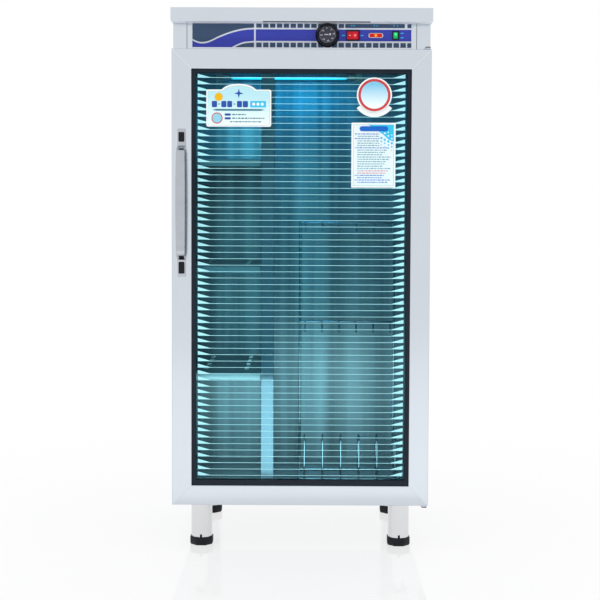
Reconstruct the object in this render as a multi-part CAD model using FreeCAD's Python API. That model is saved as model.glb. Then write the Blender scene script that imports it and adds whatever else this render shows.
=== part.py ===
import FreeCAD, Part
import math
import os

V = FreeCAD.Vector

# The cabinet stands on z = 0, its front faces -Y, and its origin is the middle of its footprint.
HEIGHT = 1290.0
BODY_WIDTH = 610.0
DEPTH = 510.0
SHEET = 1.2
BEND = 2.4
GAP = 0.3

# Planes from front to back, worked out from the depths of the parts.
HANDLE_REACH = 42.0
DOOR_THICK = 36.0
DOOR_GAP = 4.0
COVER_DEPTH = 8.0
Y_DOOR = HANDLE_REACH - DEPTH / 2
Y_BODY = Y_DOOR + DOOR_THICK + DOOR_GAP
Y_BACK = DEPTH / 2 - COVER_DEPTH
Y_LINER = Y_BACK - 32.0

# Lid
LID_HEIGHT = 32.0
LID_SHEET = 1.5
LID_LAP = 2.0

# Door frame and glass
DOOR_BOTTOM = 114.0
DOOR_TOP = 1194.0
FRAME_WIDTH = 47.0
FRAME_LIP = 5.0
REAR_LIP = 16.0
GASKET_VISIBLE = 13.0
GASKET_GRIP = 6.0
GLASS_THICK = 5.0
SEAL_INSET = 10.0
SEAL_WIDTH = 12.0
SEAL_THICK = DOOR_GAP - GAP

# Cabinet body, whose side, floor and pan meet at the posts
BODY_BOTTOM = 118.0
POST_WIDTH = 33.0
POST_LIP = 14.0
REAR_FLANGE = 20.0
SILL_RETURN = 5.0
FLOOR_TOP = 141.2
CEILING = 1170.0
RETURN_DEPTH = 20.0

# Chamber fittings
DIVIDER_X = -80.0
DIVIDER_POST = (31.0, 20.0)
SHELF_TOPS = {"upper": 938.0, "middle": 681.0, "lower": 423.0}
SHELF_LIP = 17.0
SLOT_ROWS = 4
SLOT_LENGTH = 44.0
SLOT_MARGIN = 36.0
SHELF_FRONT = Y_BODY + 23.0
SHELF_REAR = Y_LINER - 10.0
RAIL_WIDTH_WALL = 15.8
RAIL_WIDTH_WEB = 29.4
RAIL_DROP = 13.0

# Board rack, a welded wire stand in the right bay
RACK_X = 121.0
RACK_PITCH = 44.5
RACK_WIRES = 6
RACK_HALF = 125.0
FRAME_WIRE = 3.0
COMB_WIRE = 2.0
HAIRPIN_FRONT = -120.0
HAIRPIN_BEND = 30.0
HAIRPIN_TOP = 264.0
RACK_BACK = 190.0
RACK_MIDDLE = 60.0
COMB_LEVELS = (516.0, 780.0)
PRONG_REACH = 68.0
PRONG_BEND = 8.0
PRONG_DROP = 22.0

# Legs and screw feet
LEG_X = 240.5
LEG_Y = (-128.0, 202.0)
LEG_RADIUS = 25.4
LEG_BORE = 23.1
FOOT_HEIGHT = 20.0
FOOT_RADIUS = 29.8
FOOT_CHAMFER = 3.0
STEM_RADIUS = 5.9
STEM_FLATS = 16
STEM_REACH = 45.0

# Hinge
HINGE_X = 297.0
HINGE_Y = Y_DOOR + DOOR_THICK / 2
PIN_RADIUS = 4.0
BUSH_HALF = 6.0
BUSH_DEPTH = 18.0
BUSH_FLANGE = 1.2
RUNNING_CLEARANCE = 0.05
BRACKET_NOSE = 8.0
BRACKET_THICK = 3.0
BRACKET_X = (HINGE_X - BRACKET_NOSE, HINGE_X + BRACKET_NOSE - 2)
TOP_BRACKET_Z = DOOR_TOP + BUSH_FLANGE + GAP
LOW_BRACKET_Z = DOOR_BOTTOM - BUSH_FLANGE - GAP - BRACKET_THICK

# Controls, on one line across the fascia
CONTROL_Z = 1230.0
OVERLAY_SIZE = (520.0, 56.5)
OVERLAY_THICK = 0.6
Y_OVERLAY = Y_BODY - OVERLAY_THICK
DIAL_X = 60.5
DIAL_RADIUS = 27.3
DIAL_HEIGHT = 18.0
DIAL_RIM = 23.0
DIAL_FACE = 20.5
DIAL_FLATS = 40
SHAFT_RADIUS = 3.0
TIMER_NECK = 5.0
MAIN_SWITCH_X = 121.0
MAIN_BEZEL = (32.0, 25.0)
MAIN_CUTOUT = (30.4, 22.4)
PILOT_X = 175.0
PILOT_CUTOUT = (30.0, 10.0)
LAMP_SWITCH_X = 222.0
LAMP_BEZEL = (21.0, 16.0)
LAMP_CUTOUT = (14.0, 18.8)
ROCKER_TILT = 10.0
ROCKER_PIN = 1.2
PIVOT_DEPTH = 2.5
BEZEL_THICK = 2.2

# Germicidal lamp
LAMP_X = (-197.5, 133.5)
LAMP_Y = -20.0
LAMP_Z = 1147.0
LAMP_RADIUS = 12.75
LAMP_PIN = 1.2
LAMP_PIN_SPACE = 12.7
STARTER_RADIUS = 10.7

# Handle
HANDLE_X = -281.0
HANDLE_Z = (659.0, 1007.0)
HANDLE_WIDTH = 23.0
HANDLE_THICK = 9.5
HANDLE_EASE = 2.0
HANDLE_PAD = 38.0
CAP_Z = (HANDLE_Z[0] + 19.0, HANDLE_Z[1] - 24.0)

# Door switch in the left post
SWITCH_X = -278.2
SWITCH_Z = 1100.0
PLUNGER_RADIUS = 2.5

# Rear service cover and cord entry
COVER_Z = (1170.0, 1256.0)
COVER_HALF = 140.0
COVER_FLANGE = (25.0, 12.0)
VENT_SLOTS = 10
VENT_PITCH = 20.0
CORD_X = 205.0
CORD_Z = 1214.0
CORD_BORE = 4.0
GLAND_NECK = 7.0
GLAND_HEAD = 4.0
GLAND_NUT = 2.0


def block(x0, x1, y0, y1, z0, z1):
    """A box between two corners."""
    return Part.makeBox(x1 - x0, y1 - y0, z1 - z0, V(x0, y0, z0))


def rod(start, end, radius):
    """A round bar from one point to another."""
    line = V(*end) - V(*start)
    return Part.makeCylinder(radius, line.Length, V(*start), line)


def fused(shapes):
    """One solid from several that touch or overlap."""
    shapes = list(shapes)
    return shapes[0].multiFuse(shapes[1:]).removeSplitter()


def mirrored(shape):
    """The same shape on the other side of the cabinet's middle plane."""
    return shape.mirror(V(0, 0, 0), V(1, 0, 0))


def placed(axis, a, b, level):
    """A point of a flat outline that lies square to an axis, at a level along it."""
    return {"X": V(level, a, b), "Y": V(a, level, b), "Z": V(a, b, level)}[axis]


def rounded_corner(before, corner, after, radius):
    """Where a corner's arc starts, its middle and where it ends."""
    back = (before - corner).normalize()
    ahead = (after - corner).normalize()
    half = back.getAngle(ahead) / 2
    cut = radius / math.tan(half)
    middle = (back + ahead).normalize() * (radius / math.sin(half) - radius)
    return corner + back * cut, corner + middle, corner + ahead * cut


def outline(points, radii):
    """A closed wire through the points, with each corner rounded by its own radius."""
    count = len(points)
    corners = []
    for i, point in enumerate(points):
        if radii[i] > 0:
            corners.append(rounded_corner(points[i - 1], point, points[(i + 1) % count], radii[i]))
        else:
            corners.append((point, None, point))
    edges = []
    for i, (start, middle, end) in enumerate(corners):
        if middle is not None:
            edges.append(Part.Arc(start, middle, end).toShape())
        following = corners[(i + 1) % count][0]
        if (following - end).Length > 1e-6:
            edges.append(Part.LineSegment(end, following).toShape())
    return Part.Wire(edges)


def bar(points, radius, sides=6):
    """A many-sided bar along a line of points, mitred where it turns; radius is to its flats."""
    spots = [V(*point) for point in points]
    along = (spots[1] - spots[0]).normalize()
    across = V(1, 0, 0) if abs(along.x) < 0.5 else V(0, 1, 0)
    reach = radius / math.cos(math.pi / sides)
    corners = []
    for i in range(sides + 1):
        turn = 2 * math.pi * (i + 0.5) / sides
        aside = across * math.cos(turn) + along.cross(across) * math.sin(turn)
        corners.append(spots[0] + aside * reach)
    if len(spots) == 2:
        return Part.Face(Part.makePolygon(corners)).extrude(spots[1] - spots[0])
    shell = Part.BRepOffsetAPI.MakePipeShell(Part.makePolygon(spots))
    shell.setTransitionMode(1)
    shell.add(Part.makePolygon(corners))
    shell.build()
    shell.makeSolid()
    return shell.shape()


def prism(axis, points, radii, low, high):
    """A flat outline carried along an axis from low to high."""
    if not isinstance(radii, list):
        radii = [radii] * len(points)
    wire = outline([placed(axis, a, b, low) for a, b in points], radii)
    return Part.Face(wire).extrude(placed(axis, 0, 0, high - low))


def rectangle(a0, a1, b0, b1):
    """The four corners of a rectangle."""
    return [(a0, b0), (a1, b0), (a1, b1), (a0, b1)]


def clipped(a0, a1, b0, b1, cut):
    """A rectangle with its corners cut off at 45 degrees."""
    return [(a0 + cut, b0), (a1 - cut, b0), (a1, b0 + cut), (a1, b1 - cut),
            (a1 - cut, b1), (a0 + cut, b1), (a0, b1 - cut), (a0, b0 + cut)]


def bent_sheet(axis, path, low, high, bends, thickness=SHEET):
    """A folded sheet: the path is its outer face, the metal is on its left, and 0 is a sharp bend."""
    near = [V(a, b, 0) for a, b in path]
    steps = [(end - start).normalize() for start, end in zip(near, near[1:])]
    sides = [V(-step.y, step.x, 0) for step in steps]
    far = [near[0] + sides[0] * thickness]
    near_radii, far_radii = [0], [0]
    for i in range(1, len(near) - 1):
        both = sides[i - 1] + sides[i]
        far.append(near[i] + both * (thickness / (1 + sides[i - 1].dot(sides[i]))))
        outside = steps[i - 1].cross(steps[i]).z > 0
        bend = bends[i - 1]
        inner = max(0, bend - thickness)
        near_radii.append(bend if outside else inner)
        far_radii.append(inner if outside else bend)
    far.append(near[-1] + sides[-1] * thickness)
    points = [(p.x, p.y) for p in near + far[::-1]]
    return prism(axis, points, near_radii + [0, 0] + far_radii[::-1], low, high)


def ring(outer_inset, inner_inset, y0, y1):
    """A rectangular ring in the door's plane, between two distances from the door's edge."""
    half = BODY_WIDTH / 2
    blocks = []
    for inset, extra in ((outer_inset, 0), (inner_inset, 1)):
        low, high = DOOR_BOTTOM + inset, DOOR_TOP - inset
        blocks.append(block(inset - half, half - inset, y0 - extra, y1 + extra, low, high))
    return blocks[0].cut(blocks[1])


def side_panel():
    """The left side: one sheet folded into the door post at the front and a flange at the back."""
    half = BODY_WIDTH / 2
    rear = Y_BACK - SHEET
    path = [(REAR_FLANGE - half, rear), (-half, rear), (-half, Y_BODY),
            (POST_WIDTH - half, Y_BODY), (POST_WIDTH - half, Y_BODY + POST_LIP)]
    return bent_sheet("Z", path, BODY_BOTTOM, HEIGHT - LID_SHEET, [0, BEND, 0])


def left_side_panel():
    """The left side with the hole for the door switch's plunger."""
    hole = rod((SWITCH_X, Y_BODY - 1, SWITCH_Z), (SWITCH_X, Y_BODY + 5, SWITCH_Z), PLUNGER_RADIUS + GAP)
    return side_panel().cut(hole)


def right_side_panel():
    """The right side with the slot that the upper hinge bracket passes through."""
    x0, x1 = BRACKET_X
    slot = block(x0, x1, Y_BODY - 1, Y_BODY + SHEET + 1, TOP_BRACKET_Z, TOP_BRACKET_Z + BRACKET_THICK)
    return mirrored(side_panel()).cut(slot)


def back_panel():
    """The rear skin, with a service opening and the cord hole near its top."""
    half = BODY_WIDTH / 2 - 2
    top = HEIGHT - LID_SHEET - 1
    skin = block(-half, half, Y_BACK - SHEET, Y_BACK, BODY_BOTTOM, top)
    pan = COVER_HALF - COVER_FLANGE[0]
    low, high = COVER_Z[0] + COVER_FLANGE[1], COVER_Z[1] - COVER_FLANGE[1]
    opening = block(-pan, pan, Y_BACK - 5, Y_BACK + 5, low, high)
    cord = rod((CORD_X, Y_BACK - 5, CORD_Z), (CORD_X, Y_BACK + 5, CORD_Z), GLAND_NECK)
    return skin.cut(Part.makeCompound([opening, cord]))


def chamber_wall_left():
    """The chamber's left wall, spot-welded to the post's lip."""
    inner = POST_WIDTH - BODY_WIDTH / 2
    return block(inner, inner + SHEET, Y_BODY + SHEET, Y_LINER, FLOOR_TOP, CEILING)


def chamber_wall_right():
    """The chamber's right wall."""
    return mirrored(chamber_wall_left())


def chamber_back():
    """The chamber's back wall, from base pan to control compartment."""
    half = BODY_WIDTH / 2 - POST_WIDTH
    return block(-half, half, Y_LINER, Y_LINER + SHEET, BODY_BOTTOM + SHEET, CEILING + RETURN_DEPTH)


def chamber_floor():
    """The floor, folded down at the front into the sill under the door seal."""
    half = BODY_WIDTH / 2 - POST_WIDTH
    path = [(Y_LINER, FLOOR_TOP), (Y_BODY, FLOOR_TOP), (Y_BODY, BODY_BOTTOM),
            (Y_BODY + SILL_RETURN, BODY_BOTTOM)]
    return bent_sheet("X", path, -half, half, [BEND, 0])


def chamber_ceiling():
    """The ceiling, folded up at the front into the header under the door seal."""
    half = BODY_WIDTH / 2 - POST_WIDTH
    path = [(Y_BODY + RETURN_DEPTH, DOOR_TOP), (Y_BODY, DOOR_TOP), (Y_BODY, CEILING), (Y_LINER, CEILING)]
    return bent_sheet("X", path, -half, half, [0, BEND])


def base_pan():
    """The bottom pan that the legs bolt to, turned up along both sides and notched for the post lips."""
    half = BODY_WIDTH / 2 - SHEET
    path = [(-half, FLOOR_TOP - SHEET), (-half, BODY_BOTTOM), (half, BODY_BOTTOM), (half, FLOOR_TOP - SHEET)]
    pan = bent_sheet("Y", path, Y_BODY + SILL_RETURN, Y_BACK - 3 * SHEET, [0, 0])
    lip = POST_WIDTH - BODY_WIDTH / 2
    notch = block(lip - SHEET, lip, Y_BODY, Y_BODY + POST_LIP, BODY_BOTTOM - 1, BODY_BOTTOM + 3)
    return pan.cut(Part.makeCompound([notch, mirrored(notch)]))


def top_cover():
    """The lid: a pan that laps the body all round and runs forward to the door's face."""
    half = BODY_WIDTH / 2 + LID_LAP
    bottom = HEIGHT - LID_HEIGHT
    rear = Y_BACK + LID_LAP
    path = [(rear, bottom), (rear, HEIGHT), (Y_DOOR, HEIGHT), (Y_DOOR, bottom), (Y_BODY, bottom)]
    round_edge = LID_SHEET * 2
    pan = bent_sheet("X", path, LID_SHEET - half, half - LID_SHEET, [round_edge, round_edge, 0], LID_SHEET)
    skirt = prism("X", rectangle(Y_DOOR, rear, bottom, HEIGHT), [0, 0, round_edge, round_edge],
                  -half, LID_SHEET - half)
    return fused([pan, skirt, mirrored(skirt)])


def control_holes():
    """The openings that the controls need through the fascia and its overlay."""
    y0, y1 = Y_OVERLAY - 2, Y_BODY + 4
    holes = [rod((DIAL_X, y0, CONTROL_Z), (DIAL_X, y1, CONTROL_Z), TIMER_NECK)]
    cutouts = ((MAIN_SWITCH_X, MAIN_CUTOUT), (PILOT_X, PILOT_CUTOUT), (LAMP_SWITCH_X, LAMP_CUTOUT))
    for x, (wide, high) in cutouts:
        holes.append(block(x - wide / 2, x + wide / 2, y0, y1, CONTROL_Z - high / 2, CONTROL_Z + high / 2))
    return Part.makeCompound(holes)


def control_fascia():
    """The plate between the posts that carries the controls."""
    half = BODY_WIDTH / 2 - POST_WIDTH
    top = HEIGHT - LID_SHEET
    rear = Y_BODY + RETURN_DEPTH
    path = [(rear, top), (Y_BODY, top), (Y_BODY, DOOR_TOP), (rear, DOOR_TOP)]
    return bent_sheet("X", path, -half, half, [0, 0]).cut(control_holes())


def control_overlay():
    """The printed film on the fascia."""
    width, height = OVERLAY_SIZE
    top = HEIGHT - LID_HEIGHT - 0.5
    return block(-width / 2, width / 2, Y_OVERLAY, Y_BODY, top - height, top).cut(control_holes())


def divider_panel():
    """The upright between the bays: a boxed front post and a web that clears the lamp."""
    width, deep = DIVIDER_POST
    front = Y_BODY + 8
    x0, x1 = DIVIDER_X - width / 2, DIVIDER_X + width / 2
    post = prism("Z", rectangle(x0, x1, front, front + deep), [BEND, BEND, 0, 0], FLOOR_TOP, CEILING)
    hollow = block(x0 + SHEET, x1 - SHEET, front + SHEET, front + deep - SHEET, FLOOR_TOP, CEILING)
    behind = front + deep
    notch_floor = LAMP_Z - 42
    points = [(behind, FLOOR_TOP), (Y_LINER, FLOOR_TOP), (Y_LINER, CEILING), (LAMP_Y + 70, CEILING),
              (LAMP_Y + 70, notch_floor), (LAMP_Y - 70, notch_floor), (LAMP_Y - 70, CEILING),
              (behind, CEILING)]
    web = prism("X", points, [0, 0, 0, 0, 10, 10, 0, 0], DIVIDER_X - SHEET / 2, DIVIDER_X + SHEET / 2)
    return fused([post.cut(hollow), web])


def shelf_rails():
    """Angle rails welded to the chamber wall and to the divider, a pair for each shelf."""
    wall = POST_WIDTH + SHEET - BODY_WIDTH / 2
    web = DIVIDER_X - SHEET / 2
    rails = []
    for top in SHELF_TOPS.values():
        seat = top - SHEET - GAP
        foot_left, foot_right = (wall, seat - RAIL_DROP), (web, seat - RAIL_DROP)
        left = [(wall + RAIL_WIDTH_WALL, seat), (wall, seat), foot_left]
        right = [foot_right, (web, seat), (web - RAIL_WIDTH_WEB, seat)]
        rails += [bent_sheet("Y", path, SHELF_FRONT + 25, SHELF_REAR - 10, [0]) for path in (left, right)]
    return Part.makeCompound(rails)


def shelf(top):
    """A slotted shelf with a folded front lip."""
    x0 = POST_WIDTH + SHEET + 2 - BODY_WIDTH / 2
    x1 = DIVIDER_X - DIVIDER_POST[0] / 2 - 2
    lip = top - SHELF_LIP
    path = [(SHELF_REAR, top), (SHELF_FRONT, top), (SHELF_FRONT, lip), (SHELF_FRONT + 9, lip)]
    tray = bent_sheet("X", path, x0, x1, [BEND, 0])
    first = SHELF_FRONT + 2 * SLOT_LENGTH
    pitch = (SHELF_REAR - SHELF_FRONT - 3 * SLOT_LENGTH) / (SLOT_ROWS - 1)
    slots = []
    for x in (x0 + SLOT_MARGIN, x1 - SLOT_MARGIN):
        for row in range(SLOT_ROWS):
            y = first + row * pitch
            slots.append(block(x - 5, x + 5, y - SLOT_LENGTH / 2, y + SLOT_LENGTH / 2, top - 3, top + 1))
    return tray.cut(Part.makeCompound(slots))


def rack_places():
    """The x places of the rack's wires."""
    return [RACK_X + (i - (RACK_WIRES - 1) / 2) * RACK_PITCH for i in range(RACK_WIRES)]


def arc_points(middle_y, middle_z, radius, start, end, count):
    """Points along an arc in the YZ plane, by angles in degrees from +Y towards +Z."""
    turns = [math.radians(start + (end - start) * i / (count - 1)) for i in range(count)]
    return [(middle_y + radius * math.cos(turn), middle_z + radius * math.sin(turn)) for turn in turns]


def hairpin(x, z):
    """One upright loop of wire that a board's foot stands beside."""
    knee = HAIRPIN_TOP - HAIRPIN_BEND - COMB_WIRE
    rear = HAIRPIN_FRONT + 2 * HAIRPIN_BEND
    arc = arc_points(HAIRPIN_FRONT + HAIRPIN_BEND, knee, HAIRPIN_BEND, 180, 0, 7)
    route = [(HAIRPIN_FRONT, z)] + arc + [(rear, z)]
    return bar([(x, y, level) for y, level in route], COMB_WIRE)


def rack_base():
    """The rack's floor frame with its row of upright loops."""
    z = FLOOR_TOP + GAP + FRAME_WIRE
    x0, x1 = RACK_X - RACK_HALF, RACK_X + RACK_HALF
    wires = [bar([(x, HAIRPIN_FRONT - FRAME_WIRE, z), (x, RACK_BACK, z)], FRAME_WIRE, 8) for x in (x0, x1)]
    for y in (HAIRPIN_FRONT, HAIRPIN_FRONT + 2 * HAIRPIN_BEND, RACK_MIDDLE):
        wires.append(bar([(x0, y, z), (x1, y, z)], FRAME_WIRE, 8))
    return fused(wires + [hairpin(x, z) for x in rack_places()])


def prong(x, z):
    """One finger of a comb: forward from the crossbar, then bent down."""
    tip = RACK_BACK - PRONG_REACH
    elbow = arc_points(tip + PRONG_BEND, z - PRONG_BEND, PRONG_BEND, 90, 180, 3)
    route = [(RACK_BACK - FRAME_WIRE, z)] + elbow + [(tip, z - PRONG_DROP)]
    return bar([(x, y, level) for y, level in route], COMB_WIRE)


def rack_back():
    """The rack's rear frame with two combs that keep the boards apart."""
    foot = FLOOR_TOP + GAP + 2 * FRAME_WIRE
    x0, x1 = RACK_X - RACK_HALF, RACK_X + RACK_HALF
    y = RACK_BACK - FRAME_WIRE
    wires = [bar([(x, y, foot), (x, y, COMB_LEVELS[1] + FRAME_WIRE)], FRAME_WIRE, 8) for x in (x0, x1)]
    for z in COMB_LEVELS:
        wires.append(bar([(x0, y, z), (x1, y, z)], FRAME_WIRE, 8))
        wires += [prong(x, z) for x in rack_places()]
    return fused(wires)


def leg(x, y):
    """A stainless tube closed at the top, with a small notch at the front of its lower edge."""
    low, high = FOOT_HEIGHT + GAP, BODY_BOTTOM
    tube = rod((x, y, low), (x, y, high), LEG_RADIUS)
    bore = bar([(x, y, low - 1), (x, y, high - 3)], LEG_BORE, 12)
    notch = block(x - 2.5, x + 2.5, y - LEG_RADIUS - 1, y - LEG_RADIUS + 3, low - 1, low + 7)
    return tube.cut(fused([bore, notch]))


def leg_inserts():
    """The threaded plugs pressed into the lower ends of the legs."""
    low = FOOT_HEIGHT + 8
    plugs = []
    for x in (-LEG_X, LEG_X):
        for y in LEG_Y:
            plug = bar([(x, y, low), (x, y, low + 18)], LEG_BORE, 12)
            hole = bar([(x, y, low - 1), (x, y, low + 20)], STEM_RADIUS + RUNNING_CLEARANCE, STEM_FLATS)
            plugs.append(plug.cut(hole))
    return Part.makeCompound(plugs)


def foot(x, y):
    """A faceted pad on a threaded stem."""
    half = FOOT_RADIUS * math.cos(math.pi / 8)
    side = FOOT_RADIUS * math.sin(math.pi / 8)
    pad = prism("Z", clipped(x - half, x + half, y - half, y + half, half - side), 0, 0, FOOT_HEIGHT)
    rims = [e for e in pad.Edges if e.BoundBox.ZLength < 1]
    pad = pad.makeChamfer(FOOT_CHAMFER, rims)
    stem = bar([(x, y, FOOT_HEIGHT - 1), (x, y, FOOT_HEIGHT + STEM_REACH)], STEM_RADIUS, STEM_FLATS)
    return fused([pad, stem])


def bracket_plate(z, rear):
    """A flat hinge plate with a clipped nose and its pin hole."""
    x0, x1 = BRACKET_X
    nose = HINGE_Y - BRACKET_NOSE
    points = [(x0 + 4, nose), (x1 - 4, nose), (x1, nose + 4), (x1, rear), (x0, rear), (x0, nose + 4)]
    plate = prism("Z", points, 0, z, z + BRACKET_THICK)
    return plate.cut(rod((HINGE_X, HINGE_Y, z - 1), (HINGE_X, HINGE_Y, z + BRACKET_THICK + 1), PIN_RADIUS))


def hinge_bracket_top():
    """The upper bracket, through the post's slot and up behind it."""
    x0, x1 = BRACKET_X
    inside = Y_BODY + SHEET
    leg_up = block(x0, x1, inside, inside + BRACKET_THICK, TOP_BRACKET_Z, TOP_BRACKET_Z + 34)
    return fused([bracket_plate(TOP_BRACKET_Z, inside + BRACKET_THICK), leg_up])


def hinge_bracket_bottom():
    """The lower bracket, stepped up to the underside of the base pan."""
    x0, x1 = BRACKET_X
    step = Y_BODY + RETURN_DEPTH
    riser = block(x0, x1, step, step + BRACKET_THICK, LOW_BRACKET_Z, BODY_BOTTOM)
    upper = block(x0, x1, step, step + 50, BODY_BOTTOM - BRACKET_THICK, BODY_BOTTOM)
    return fused([bracket_plate(LOW_BRACKET_Z, step + BRACKET_THICK), riser, upper])


def hinge_pin(z, inward):
    """A headed pin: z is the bracket face under its head, inward is +1 up or -1 down."""
    reach = BRACKET_THICK + BUSH_FLANGE + GAP + BUSH_DEPTH
    shank = rod((HINGE_X, HINGE_Y, z), (HINGE_X, HINGE_Y, z + inward * reach), PIN_RADIUS)
    head = bar([(HINGE_X, HINGE_Y, z), (HINGE_X, HINGE_Y, z - inward * 3)], PIN_RADIUS + 2)
    return fused([shank, head])


def hinge_pins():
    """The two pins that the door turns on."""
    return Part.makeCompound([hinge_pin(TOP_BRACKET_Z + BRACKET_THICK, -1), hinge_pin(LOW_BRACKET_Z, 1)])


def hinge_block(z0, z1, half):
    """A square block on the hinge's axis."""
    return block(HINGE_X - half, HINGE_X + half, HINGE_Y - half, HINGE_Y + half, min(z0, z1), max(z0, z1))


def hinge_bush(z, inward):
    """A flanged plastic bearing block in the door's edge."""
    body = hinge_block(z, z + inward * (BUSH_DEPTH + 3), BUSH_HALF)
    flange = hinge_block(z, z - inward * BUSH_FLANGE, BUSH_HALF + 1.5)
    bore = rod((HINGE_X, HINGE_Y, z - inward * 5), (HINGE_X, HINGE_Y, z + inward * (BUSH_DEPTH + 5)),
               PIN_RADIUS + RUNNING_CLEARANCE)
    return fused([body, flange]).cut(bore)


def hinge_bushes():
    """The door's two bearings."""
    return Part.makeCompound([hinge_bush(DOOR_TOP, -1), hinge_bush(DOOR_BOTTOM, 1)])


def frame_member(length):
    """A mitred channel of the door frame: its outer edge on x = 0, its face on y = 0, along z."""
    width, thick = FRAME_WIDTH, DOOR_THICK
    path = [(width, thick - REAR_LIP), (width, thick), (0, thick), (0, 0), (width, 0), (width, FRAME_LIP)]
    channel = bent_sheet("Z", path, -length / 2, length / 2, [0, 0, BEND, BEND])
    mitre = [(0, -length / 2), (width, width - length / 2), (width, length / 2 - width), (0, length / 2)]
    return channel.common(prism("Y", mitre, 0, -1, thick + 1))


def door_stile_left():
    """The handle side of the door frame."""
    stile = frame_member(DOOR_TOP - DOOR_BOTTOM)
    stile.translate(V(-BODY_WIDTH / 2, Y_DOOR, (DOOR_TOP + DOOR_BOTTOM) / 2))
    return stile


def door_stile_right():
    """The hinge side of the door frame."""
    return mirrored(door_stile_left())


def door_rail(z, turn):
    """A cross member of the door frame, turned to the top or the bottom, cut out for its hinge bush."""
    rail = frame_member(BODY_WIDTH)
    rail.rotate(V(0, 0, 0), V(0, 1, 0), turn)
    rail.translate(V(0, Y_DOOR, z))
    return rail.cut(hinge_block(z - 5, z + 5, BUSH_HALF))


def door_rail_top():
    """The top of the door frame."""
    return door_rail(DOOR_TOP, 90)


def door_rail_bottom():
    """The bottom of the door frame."""
    return door_rail(DOOR_BOTTOM, -90)


def door_glass():
    """The tempered pane."""
    inset = FRAME_WIDTH - 2
    half = BODY_WIDTH / 2 - inset
    y0 = Y_DOOR + 2 * FRAME_LIP
    return block(-half, half, y0, y0 + GLASS_THICK, DOOR_BOTTOM + inset, DOOR_TOP - inset)


def glazing_gasket():
    """The rubber channel round the pane, held between the frame's lips."""
    y0, y1 = Y_DOOR + FRAME_LIP, Y_DOOR + DOOR_THICK - REAR_LIP
    rubber = ring(FRAME_WIDTH - GASKET_GRIP, FRAME_WIDTH + GASKET_VISIBLE, y0, y1)
    return rubber.cut(door_glass())


def door_seal():
    """The soft seal on the door's back: a flat base and a raised bead."""
    back = Y_DOOR + DOOR_THICK
    base = ring(SEAL_INSET, SEAL_INSET + SEAL_WIDTH, back, back + 1.5)
    bead = ring(SEAL_INSET + 2, SEAL_INSET + SEAL_WIDTH - 2, back + 1.5, back + SEAL_THICK)
    return fused([base, bead])


def handle_side():
    """The bow of the handle seen from the side, as a solid wider than the handle."""
    low, high = HANDLE_Z
    middle = (low + high) / 2
    face, out = Y_DOOR, Y_DOOR - HANDLE_REACH
    knee = low + HANDLE_PAD
    outer = [V(0, face, low), V(0, face - 4.5, low), V(0, face - 5.5, knee), V(0, out + 5, knee + 24)]
    inner = [V(0, face, knee + 3), V(0, out + 5 + HANDLE_THICK, knee + 27)]
    flip = [V(0, p.y, 2 * middle - p.z) for p in outer]
    flip_inner = [V(0, p.y, 2 * middle - p.z) for p in inner]
    edges = [Part.LineSegment(a, b).toShape() for a, b in zip(outer, outer[1:])]
    edges.append(Part.Arc(outer[-1], V(0, out, middle), flip[-1]).toShape())
    edges += [Part.LineSegment(a, b).toShape() for a, b in zip(flip[::-1], flip[::-1][1:])]
    edges.append(Part.LineSegment(flip[0], flip_inner[0]).toShape())
    edges.append(Part.LineSegment(flip_inner[0], flip_inner[1]).toShape())
    edges.append(Part.Arc(flip_inner[1], V(0, out + HANDLE_THICK, middle), inner[1]).toShape())
    edges.append(Part.LineSegment(inner[1], inner[0]).toShape())
    edges.append(Part.LineSegment(inner[0], outer[0]).toShape())
    side = Part.Face(Part.Wire(edges)).extrude(V(HANDLE_WIDTH + 4, 0, 0))
    side.translate(V(HANDLE_X - HANDLE_WIDTH / 2 - 2, 0, 0))
    return side


def door_handle():
    """A bow handle: its side shape cut to a front outline that swells at the grip, with its edges eased."""
    low, high = HANDLE_Z
    middle = (low + high) / 2
    grip, end = HANDLE_WIDTH / 2, HANDLE_WIDTH / 2 - 2
    left = [V(HANDLE_X - end, 0, low), V(HANDLE_X - grip, 0, middle), V(HANDLE_X - end, 0, high)]
    right = [V(HANDLE_X + end, 0, high), V(HANDLE_X + grip, 0, middle), V(HANDLE_X + end, 0, low)]
    edges = [Part.Arc(*left).toShape(), Part.LineSegment(left[2], right[0]).toShape(),
             Part.Arc(*right).toShape(), Part.LineSegment(right[2], left[0]).toShape()]
    front = Part.Face(Part.Wire(edges)).extrude(V(0, HANDLE_REACH + 4, 0))
    front.translate(V(0, Y_DOOR - HANDLE_REACH - 2, 0))
    bow = handle_side().common(front)
    sides = [e for e in bow.Edges if e.BoundBox.XLength < 3 and e.BoundBox.YMin < Y_DOOR - 1]
    bow = bow.makeChamfer(HANDLE_EASE, sides)
    return bow.cut(Part.makeCompound([cap_block(z, 2.4) for z in CAP_Z]))


def cap_block(z, deep):
    """The recess in a handle pad, or the cap that fills it."""
    points = clipped(HANDLE_X - 7, HANDLE_X + 7, z - 11.5, z + 11.5, 1.5)
    return prism("Y", points, 0, Y_DOOR - 6, Y_DOOR - 6 + deep)


def handle_caps():
    """The two inserts that cover the handle's screws."""
    return Part.makeCompound([cap_block(z, 2.4) for z in CAP_Z])


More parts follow.
